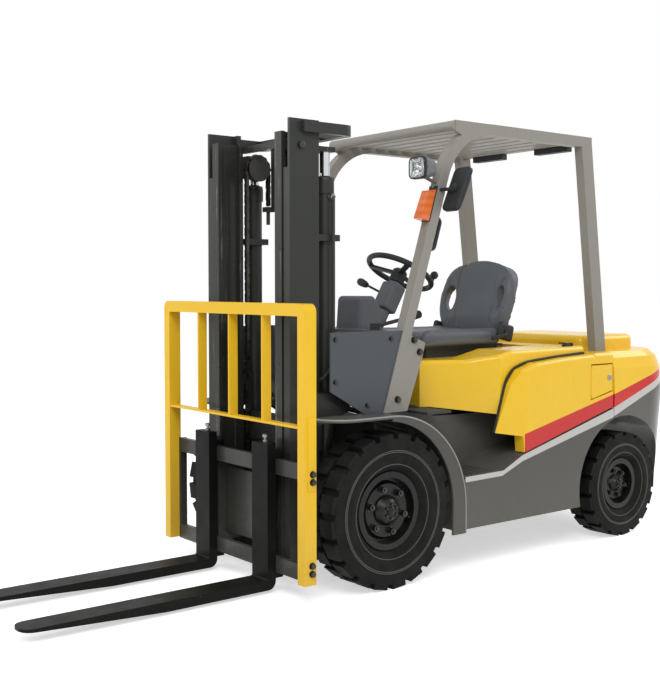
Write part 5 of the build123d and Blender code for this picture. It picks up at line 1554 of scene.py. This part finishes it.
@dataclass
class DriverPlace:
    """Grips, gauges, pads and mats round the driver.

    Attributes:
        levers: x of the two mast levers.
        knob_ends: Ends of a lever's knob as (y from the front axle, z).
        wheel: Steering wheel's centre, y from the front axle.
        tilt: Degrees of the steering column from upright.
        pod: Middle of the instrument pod's slanted face, y from the front axle.
        pod_slope: Degrees of that face from level.
        floor_z: Top of the floor plate.
        step_z: Top of the step.
    """

    levers: tuple[float, float] = (-0.190, -0.240)
    knob_ends: tuple[tuple[float, float], tuple[float, float]] = ((0.206, 1.344), (0.274, 1.360))
    wheel: Point = (0.0, 0.540, 1.376)
    tilt: float = 30.0
    pod: Point = (0.0, 0.325, 1.225)
    pod_slope: float = 54.46
    floor_z: float = 0.735
    step_z: float = 0.437

    def build(self) -> None:
        """Makes everything at the driver's place but the seat."""
        self.knobs()
        self.brake_grip()
        self.horn()
        self.gauges()
        self.mats()

    def knobs(self) -> None:
        """Pear-shaped knobs on the mast levers, and the end of the gear lever."""
        pear = [(-0.034, 0.0), (-0.034, 0.013), (-0.020, 0.0175), (0.010, 0.0205), (0.026, 0.016),
                (0.034, 0.0)]
        (y0, z0), (y1, z1) = self.knob_ends
        for x, name, finish in zip(self.levers, ("lift", "tilt"), (Finishes.YELLOW_KNOB, Finishes.GREY_KNOB)):
            Form().put(turned_shape(pear, 28), towards((x, y0, z0), (x, y1, z1))).piece(
                f"{name}_lever_knob", finish, "chassis", "black_plastic")
        Form().put(turned_shape(pear, 28), towards((-0.158, 0.4495, 1.314), (-0.206, 0.4455, 1.3325))).piece(
            "gear_lever_knob", Finishes.BLACK_PLASTIC, "chassis", "black_plastic")

    def brake_grip(self) -> None:
        """Ribbed rubber grip of the parking brake."""
        grip = towards((0.300, 0.322, 1.1585), (0.300, 0.398, 1.1755))
        ribs = [grip @ moved(0, 0, -0.036 + 0.008 * i) for i in range(10)]
        Form().put(ring_shape(0.0165, 0.0028, 24, 8), *ribs).piece(
            "brake_grip", Finishes.SEAL, "chassis", "black_plastic")

    def horn(self) -> None:
        """Horn cap with its ring on the steering wheel's hub."""
        hub = at(*self.wheel) @ turn(-self.tilt, "X")
        cap = turned_shape([(-0.001, 0.034), (0.006, 0.034), (0.012, 0.028), (0.015, 0.015),
                            (0.0158, 0.0)], 40)
        Form().put(cap, hub).put(ring_shape(0.0355, 0.0022, 40, 8), hub @ moved(0, 0, 0.001)).piece(
            "horn_cap", Finishes.GREY_PLASTIC, "steering_wheel", "black_plastic")

    def gauges(self) -> None:
        """Dark panel on the pod's slanted face with two dials, their needles and a row of tell-tales."""
        face = at(*self.pod) @ turn(-self.pod_slope, "X")
        panel = turned_shape([(-0.002, 1.0), (0.002, 1.0), (0.003, 0.985), (0.003, 0.0)], 48)
        Form().put(squared(panel, 0.148, 0.066), face).piece(
            "gauge_panel", Finishes.BLACK_PLASTIC, "chassis", "black_plastic")
        dials = [face @ moved(x, 0.004, 0.003) for x in (-0.040, 0.040)]
        bezel = turned_shape([(0.0, 0.0235), (0.004, 0.0225), (0.004, 0.0205), (0.001, 0.0195)], 40)
        lamps = [face @ moved(x, -0.022, 0.003) for x in (-0.020, -0.007, 0.007, 0.020)]
        Form().put(bezel, *dials).put(rod_shape(0.0035, 0.002, 0.0005, 12), *lamps).piece(
            "dial_bezels", Finishes.BOLT_STEEL, "chassis", "bare_steel")
        Form().put(turned_shape([(0.0008, 0.020), (0.0010, 0.0)], 32), *dials).piece(
            "dial_faces", Finishes.GREY_KNOB, "chassis", "black_plastic")
        needles = [dial @ turn(lean, "Z") @ moved(0, 0.007, 0.0018)
                   for dial, lean in zip(dials, (40, -25))]
        Form().put(box_shape((0.0014, 0.018, 0.0008)), *needles).piece(
            "dial_needles", Finishes.YELLOW_KNOB, "chassis", "orange_lens")

    def mats(self) -> None:
        """Ribbed rubber mat on the floor, tread bars on the steps and rubber on the pedals."""
        form = Form()
        form.put(box_shape((0.570, 0.190, 0.005), 0.002), at(0, 0.310, self.floor_z + 0.0025))
        ribs = [at(0, 0.226 + 0.014 * i, self.floor_z + 0.006) for i in range(13)]
        form.put(box_shape((0.555, 0.006, 0.004), 0.0015), *ribs)
        for x in (-0.150, -0.020, 0.130):
            pad = at(x, 0.112, self.floor_z + 0.095) @ turn(35, "X")
            form.put(box_shape((0.079, 0.064, 0.005), 0.002), pad @ moved(0, 0, 0.0085))
            bars = [pad @ moved(0, -0.022 + 0.011 * i, 0.012) for i in range(5)]
            form.put(box_shape((0.070, 0.005, 0.004), 0.0015), *bars)
        form.piece("floor_mat", Finishes.MAT, "chassis", "black_plastic")
        treads = [at(0.445, 0.480 + 0.028 * i, self.step_z + 0.0025) for i in range(7)]
        Form().put(box_shape((0.200, 0.009, 0.005), 0.0018), *mirrored(treads)).piece(
            "step_treads", Finishes.MAT, "chassis", "black_plastic")


# Body trim


@dataclass
class BodyTrim:
    """Fasteners, seals and small fittings of the body.

    Attributes:
        seam_x: Middle of the seam between hood and side panel.
        leg_x: Outer face of the guard's leg plates.
        wing_x: Outer face of the cowl's wings.
        door_x: Outer face of the fuel door.
        lock_at: The fuel door's lock as (y from the front axle, z).
        fender_x: Middle of the bead on the front fenders' outer edge.
        fender_z: Centre of its bend behind the wheel, above the floor.
        fender: The bead's radius behind the wheel and round the nose, and its straight runs on top and down.
    """

    seam_x: float = 0.4985
    leg_x: float = 0.466
    wing_x: float = 0.460
    door_x: float = 0.565
    lock_at: tuple[float, float] = (1.478, 0.838)
    fender_x: float = 0.5735
    fender_z: float = 0.310
    fender: tuple[float, float, float, float] = (0.4385, 0.1285, 0.190, 0.126)

    def build(self) -> None:
        """Makes all of the body's trim."""
        self.bolts()
        self.seals()
        self.beads()
        self.latch()
        self.lock()

    def bolts(self) -> None:
        """Bolts through the guard's leg plates and the cowl's wings."""
        spots = ((0.215, 1.066), (0.249, 1.011), (0.118, 0.805))
        plates = [at(self.leg_x, y, z) @ turn(90, "Y") for y, z in spots]
        Form().put(bolt_shape(0.022, 0.013, 1.5), *mirrored(plates)).piece(
            "guard_leg_bolts", Finishes.DARK_BOLT, "chassis", "bare_steel")
        spots = ((-0.225, 1.080), (-0.225, 0.900), (-0.050, 0.790), (0.085, 1.075))
        wings = [at(self.wing_x, y, z) @ turn(90, "Y") for y, z in spots]
        Form().put(bolt_shape(0.016, 0.009, 1.5), *mirrored(wings)).piece(
            "cowl_bolts", Finishes.DARK_BOLT, "chassis", "bare_steel")

    def seals(self) -> None:
        """Rubber seal on the edge of each side panel, in the seam beside the hood."""
        line = ((0.696, 0.6125), (0.733, 0.727), (0.7695, 0.840), (0.791, 0.875), (0.827, 0.9095),
                (0.876, 0.926), (0.930, 0.9395), (1.040, 0.948), (1.150, 0.9565), (1.350, 0.966))
        seal = tube_shape((from_axle(self.seam_x, y, z) for y, z in line), 0.0065)
        Form().put(seal, Matrix.Identity(4), MIRROR).piece(
            "hood_seals", Finishes.SEAL, "chassis", "black_plastic")

    def beads(self) -> None:
        """Rolled edges along the front fenders: round the nose, along the top and down behind the wheel."""
        reach, nose, ahead, below = self.fender
        bead = bmesh.new()
        start = moved(-nose, -ahead - nose, reach) @ turn(90, "Y")
        bmesh.ops.create_circle(bead, cap_ends=False, segments=12, radius=0.004, matrix=start)
        end = list(bead.edges)
        end = self.swept(bead, end, (-nose, -ahead, reach), "Z", 90.0)
        end = self.drawn(bead, end, (0, ahead, 0))
        end = self.swept(bead, end, (0, 0, 0), "X", -90.0)
        self.drawn(bead, end, (0, 0, -below))
        bmesh.ops.holes_fill(bead, edges=list(bead.edges), sides=0)
        bmesh.ops.recalc_face_normals(bead, faces=list(bead.faces))
        # the bead's lighter grey is a painted highlight along the fenders' outer edge
        Form().put(bead, *both(at(self.fender_x, 0.0, self.fender_z))).piece(
            "fender_beads", Finishes.HIGHLIGHT_EDGE_GREY, "chassis", "grey_paint")

    def swept(self, shape: Shape, edges: list[bmesh.types.BMEdge], centre: Point, axis: str,
              degrees: float) -> list[bmesh.types.BMEdge]:
        """Carries an open end of a tube round a bend.

        Args:
            shape: The tube.
            edges: Edges round its open end.
            centre: Centre of the bend.
            axis: Axis of the bend.
            degrees: How far it bends.

        Returns:
            Edges round the new end.
        """
        about = {"X": (1, 0, 0), "Z": (0, 0, 1)}[axis]
        done = bmesh.ops.spin(shape, geom=edges, cent=centre, axis=about, angle=math.radians(degrees),
                              steps=20)
        return [item for item in done["geom_last"] if isinstance(item, bmesh.types.BMEdge)]

    def drawn(self, shape: Shape, edges: list[bmesh.types.BMEdge], move: Point) -> list[bmesh.types.BMEdge]:
        """Carries an open end of a tube straight on.

        Args:
            shape: The tube.
            edges: Edges round its open end.
            move: How far it goes.

        Returns:
            Edges round the new end.
        """
        done = bmesh.ops.extrude_edge_only(shape, edges=edges)["geom"]
        ends = {item for item in done if isinstance(item, bmesh.types.BMVert)}
        bmesh.ops.translate(shape, verts=list(ends), vec=move)
        return [item for item in done if isinstance(item, bmesh.types.BMEdge) and set(item.verts) <= ends]

    def latch(self) -> None:
        """Black pull handle of the hood's catch, beside the guard's rear leg."""
        form = Form()
        form.put(box_shape((0.020, 0.070, 0.012), 0.004, 3), at(0.440, 1.296, 1.004))
        form.put(box_shape((0.014, 0.090, 0.008), 0.003, 3), at(0.440, 1.275, 1.014) @ turn(-6, "X"))
        form.put(rod_shape(0.007, 0.026, 0.0015, 16), at(0.440, 1.320, 1.010) @ turn(90, "Y"))
        form.piece("hood_catch", Finishes.BLACK_PLASTIC, "chassis", "black_plastic")

    def lock(self) -> None:
        """Round lock of the fuel door, with its key slot."""
        face = at(self.door_x, *self.lock_at) @ turn(90, "Y")
        barrel = turned_shape([(-0.002, 0.016), (0.002, 0.016), (0.0035, 0.014), (0.0035, 0.010),
                               (0.0025, 0.0)], 32)
        Form().put(barrel, face).piece("fuel_door_lock", Finishes.BOLT_STEEL, "fuel_door", "bare_steel")
        slot = box_shape((0.002, 0.011, 0.0016))
        Form().put(slot, face @ moved(0, 0, 0.0032)).piece(
            "fuel_door_key_slot", Finishes.BLACK_PLASTIC, "fuel_door", "black_plastic")


# Mast trim


@dataclass
class MastTrim:
    """Fasteners and fittings of the mast, carriage and forks.

    Attributes:
        rest_x: Outer face of the load backrest's posts.
        bar_y: Middle of the fork bars, from the front axle.
        channel_x: Outer face of the outer channels.
        roller_y: Rollers' axis, from the front axle.
        roller_z: Upper rollers' height.
        lift: Left lift cylinder's axis as (x, y from the front axle).
        gland_z: Top of the lift cylinders.
        anchor: Left chain anchor on the carriage, y from the front axle.
        fork_x: Forks' middle.
        fork_top: Top of the fork shanks.
    """

    rest_x: float = 0.573
    bar_y: float = -0.432
    channel_x: float = 0.330
    roller_y: float = -0.3065
    roller_z: float = 1.906
    lift: tuple[float, float] = (0.278, -0.143)
    gland_z: float = 1.770
    anchor: Point = (0.165, -0.260, 0.300)
    fork_x: float = 0.237
    fork_top: float = 0.640

    def build(self) -> None:
        """Makes all of the mast's trim."""
        self.backrest()
        self.cylinders()
        self.channels()
        self.chain_ends()
        self.fork_pins()

    def backrest(self) -> None:
        """Bolts and the fastening strip on the backrest's posts."""
        strip = at(self.rest_x + 0.0015, -0.434, 0.627)
        # the strips take the backrest's deeper yellow, which is painted shade
        Form().put(box_shape((0.006, 0.040, 0.300), 0.0015), *both(strip)).piece(
            "backrest_strips", Finishes.SHADED_BACKREST_YELLOW, "carriage", "yellow_paint")
        spots = ((0.0045, 0.546), (0.0045, 0.514), (0.0, 0.172), (0.0, 0.139))
        bolts = [at(self.rest_x + out, self.bar_y, z) @ turn(90, "Y") for out, z in spots]
        Form().put(bolt_shape(0.021, 0.012, 1.4), *mirrored(bolts)).piece(
            "backrest_bolts", Finishes.DARK_BOLT, "carriage", "bare_steel")

    def cylinders(self) -> None:
        """Gland nuts and rod wipers on the lift cylinders, and the pipes' unions."""
        top = at(*self.lift, self.gland_z)
        gland = turned_shape([(0.0, 0.0232), (0.0, 0.038), (0.010, 0.038), (0.013, 0.035),
                              (0.013, 0.0232)], 48)
        notches = [top @ turn(60.0 * i, "Z") @ moved(0.037, 0, 0.006) for i in range(6)]
        notch = box_shape((0.006, 0.010, 0.010), 0.001)
        Form().put(gland, *both(top)).put(notch, *mirrored(notches)).piece(
            "lift_gland_nuts", Finishes.DARK_BOLT, "mast", "bare_steel")
        wiper = turned_shape([(0.013, 0.0226), (0.013, 0.027), (0.017, 0.0245), (0.018, 0.0226)], 40)
        Form().put(wiper, *both(top)).piece("lift_rod_wipers", Finishes.SEAL, "mast", "black_plastic")
        union = at(0.322, self.lift[1], 1.695) @ turn(90, "Y")
        nut = bolt_shape(0.026, 0.016, 1.1)
        Form().put(nut, *both(union)).piece("pipe_unions", Finishes.BOLT_STEEL, "mast", "bare_steel")

    def channels(self) -> None:
        """End of the upper roller's pin on each outer channel."""
        roller = at(self.channel_x, self.roller_y, self.roller_z) @ turn(90, "Y")
        Form().put(bolt_shape(0.030, 0.010, 1.5), *both(roller)).piece(
            "mast_roller_pins", Finishes.DARK_BOLT, "mast", "bare_steel")

    def chain_ends(self) -> None:
        """Lock nuts on the chains' anchor rods."""
        x, y, z = self.anchor
        nuts = [at(x, y, z - drop) @ turn(180, "X") for drop in (0.024, 0.042)]
        Form().put(bolt_shape(0.028, 0.014, 1.3), *mirrored(nuts)).piece(
            "chain_anchor_nuts", Finishes.BOLT_STEEL, "carriage", "bare_steel")

    def fork_pins(self) -> None:
        """Spring pins that lock the forks in the bar's notches."""
        pin = [(0.0, 0.0), (0.0, 0.011), (0.010, 0.011), (0.012, 0.006), (0.020, 0.006), (0.022, 0.012),
               (0.032, 0.012), (0.035, 0.009), (0.035, 0.0)]
        for side in Side:
            Form().put(turned_shape(pin, 28), side.value @ at(self.fork_x, self.bar_y, self.fork_top)).piece(
                f"fork_pin_{side.label}", Finishes.BOLT_STEEL, f"fork_{side.label}", "bare_steel")


# Studio and camera


@dataclass(frozen=True)
class Portrait:
    """The reference view: a camera at eye height, ahead of the truck's left front wheel.

    Attributes:
        place: Camera position.
        azimuth: Degrees round from straight ahead of the forks.
        elevation: Degrees that the view looks down.
        focal_px: Focal length in pixels of the reference image.
        centre_px: Where the optical axis meets that image.
        image_px: Size of that image.
    """

    place: Point = from_axle(4.0407, -2.9999, 1.3061)
    azimuth: float = 51.39
    elevation: float = 2.24
    focal_px: float = 1073.6
    centre_px: tuple[float, float] = (351.0, 328.3)
    image_px: tuple[int, int] = (660, 678)

    def set_up(self) -> None:
        """Makes the camera and gives it to the scene."""
        turned_by, rise = math.radians(self.azimuth), math.radians(self.elevation)
        level = math.cos(rise)
        back = Vector((math.sin(turned_by) * level, -math.cos(turned_by) * level, math.sin(rise)))
        right = Vector((0, 0, 1)).cross(back).normalized()
        up = back.cross(right)
        lens = bpy.data.cameras.new("portrait")
        camera = bpy.data.objects.new("portrait", lens)
        bpy.context.scene.collection.objects.link(camera)
        camera.matrix_world = Matrix.Translation(self.place) @ Matrix((right, up, back)).transposed().to_4x4()
        long_side = max(self.image_px)
        lens.sensor_width = 36.0
        lens.lens = self.focal_px * lens.sensor_width / long_side
        lens.shift_x = (self.image_px[0] / 2 - self.centre_px[0]) / long_side
        lens.shift_y = (self.centre_px[1] - self.image_px[1] / 2) / long_side
        lens.clip_end = 200.0
        bpy.context.scene.camera = camera


@dataclass(frozen=True)
class Softbox:
    """A large studio lamp.

    Attributes:
        name: Which lamp it is.
        place: Its position.
        target: What it points at.
        width: Side of its square face.
        watts: Its power.
    """

    name: str
    place: Point
    target: Point
    width: float
    watts: float

    def set_up(self) -> None:
        """Hangs the lamp."""
        data = bpy.data.lights.new(self.name, "AREA")
        data.size = self.width
        data.energy = self.watts
        lamp = bpy.data.objects.new(self.name, data)
        lamp.location = self.place
        lamp.rotation_euler = (Vector(self.target) - Vector(self.place)).to_track_quat("-Z", "Y").to_euler()
        bpy.context.scene.collection.objects.link(lamp)


@dataclass
class Studio:
    """White room: pale floor, white surroundings and soft lamps.

    Attributes:
        fill: Strength of the surroundings as a lamp.
        floor_half: Half the floor's side.
        floor_lift: How much of its own white the floor shows to the camera.
    """

    fill: float = 0.55
    floor_half: float = 60.0
    floor_lift: float = 0.56

    def seen_directly(self, tree: Tree) -> Socket:
        """1 for camera, glossy and transmission rays, else 0.

        Args:
            tree: The material's or world's node tree.

        Returns:
            The socket with that number.
        """
        path = add(tree, "LightPath").outputs
        seen = path["Is Camera Ray"]
        for kind in ("Is Glossy Ray", "Is Transmission Ray"):
            seen = add(tree, "Math", {0: seen, 1: path[kind]}, operation="MAXIMUM").outputs[0]
        return seen

    def set_up(self) -> None:
        """Makes the surroundings, the floor and the lamps."""
        scene = bpy.context.scene
        scene.view_settings.view_transform = "Standard"
        world = bpy.data.worlds.new("white_room")
        scene.world = world
        world.use_nodes = True
        tree = world.node_tree
        seen = self.seen_directly(tree)
        strength = add(tree, "MapRange", {"Value": seen, "To Min": self.fill, "To Max": 1.0})
        sky = tree.nodes["Background"]
        sky.inputs["Color"].default_value = (1, 1, 1, 1)
        tree.links.new(strength.outputs[0], sky.inputs["Strength"])
        self.lay_floor()
        for lamp in (
            Softbox("key_left", (4.5, -3.5, 5.5), (0, 0, 0.8), 3.5, 230),
            Softbox("fill_front", (-3.5, -5.0, 3.5), (0, -0.5, 0.8), 3.0, 90),
            Softbox("rim_rear", (2.0, 6.0, 4.5), (0, 0.5, 1.0), 3.0, 120),
        ):
            lamp.set_up()

    def lay_floor(self) -> None:
        """A plain pale floor that keeps the truck's shadow and is white where none falls."""
        shape = bmesh.new()
        bmesh.ops.create_grid(shape, x_segments=1, y_segments=1, size=self.floor_half)
        mesh = bpy.data.meshes.new("studio_floor")
        shape.to_mesh(mesh)
        shape.free()
        floor = bpy.data.objects.new("studio_floor", mesh)
        bpy.context.scene.collection.objects.link(floor)
        material = bpy.data.materials.new("painted_studio_floor")
        material.use_nodes = True
        tree = material.node_tree
        shader = tree.nodes["Principled BSDF"]
        shader.inputs["Base Color"].default_value = linear("F4F4F4")
        shader.inputs["Roughness"].default_value = 0.9
        shader.inputs["Specular IOR Level"].default_value = 0.0
        shader.inputs["Emission Color"].default_value = (1, 1, 1, 1)
        lift = add(tree, "Math", {0: self.seen_directly(tree), 1: self.floor_lift}, operation="MULTIPLY")
        tree.links.new(lift.outputs[0], shader.inputs["Emission Strength"])
        mesh.materials.append(material)


def main() -> None:
    """Builds the truck's looks in order."""
    logging.basicConfig(level=logging.INFO, format="%(name)s: %(message)s")
    Portrait().set_up()
    Studio().set_up()
    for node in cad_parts:
        dress(node)
    Seat().build()
    LiftChains().build()
    Wheel("front", x=0.485, y=0.0, z=0.337, disc=0.042, nuts=6, circle=0.096, across=0.027, cap=0.078,
          cap_radius=0.041, rings=((0.205, 0.0890), (0.258, 0.095), (0.265, 0.095))).build()
    Wheel("rear", x=0.485, y=1.600, z=0.272, disc=0.024, nuts=6, circle=0.066, across=0.021, cap=0.052,
          cap_radius=0.027, rings=((0.166, 0.0763), (0.204, 0.080), (0.210, 0.080))).build()
    Lamps().build()
    Mirrors().build()
    DriverPlace().build()
    BodyTrim().build()
    MastTrim().build()


if __name__ == "__main__":
    main()
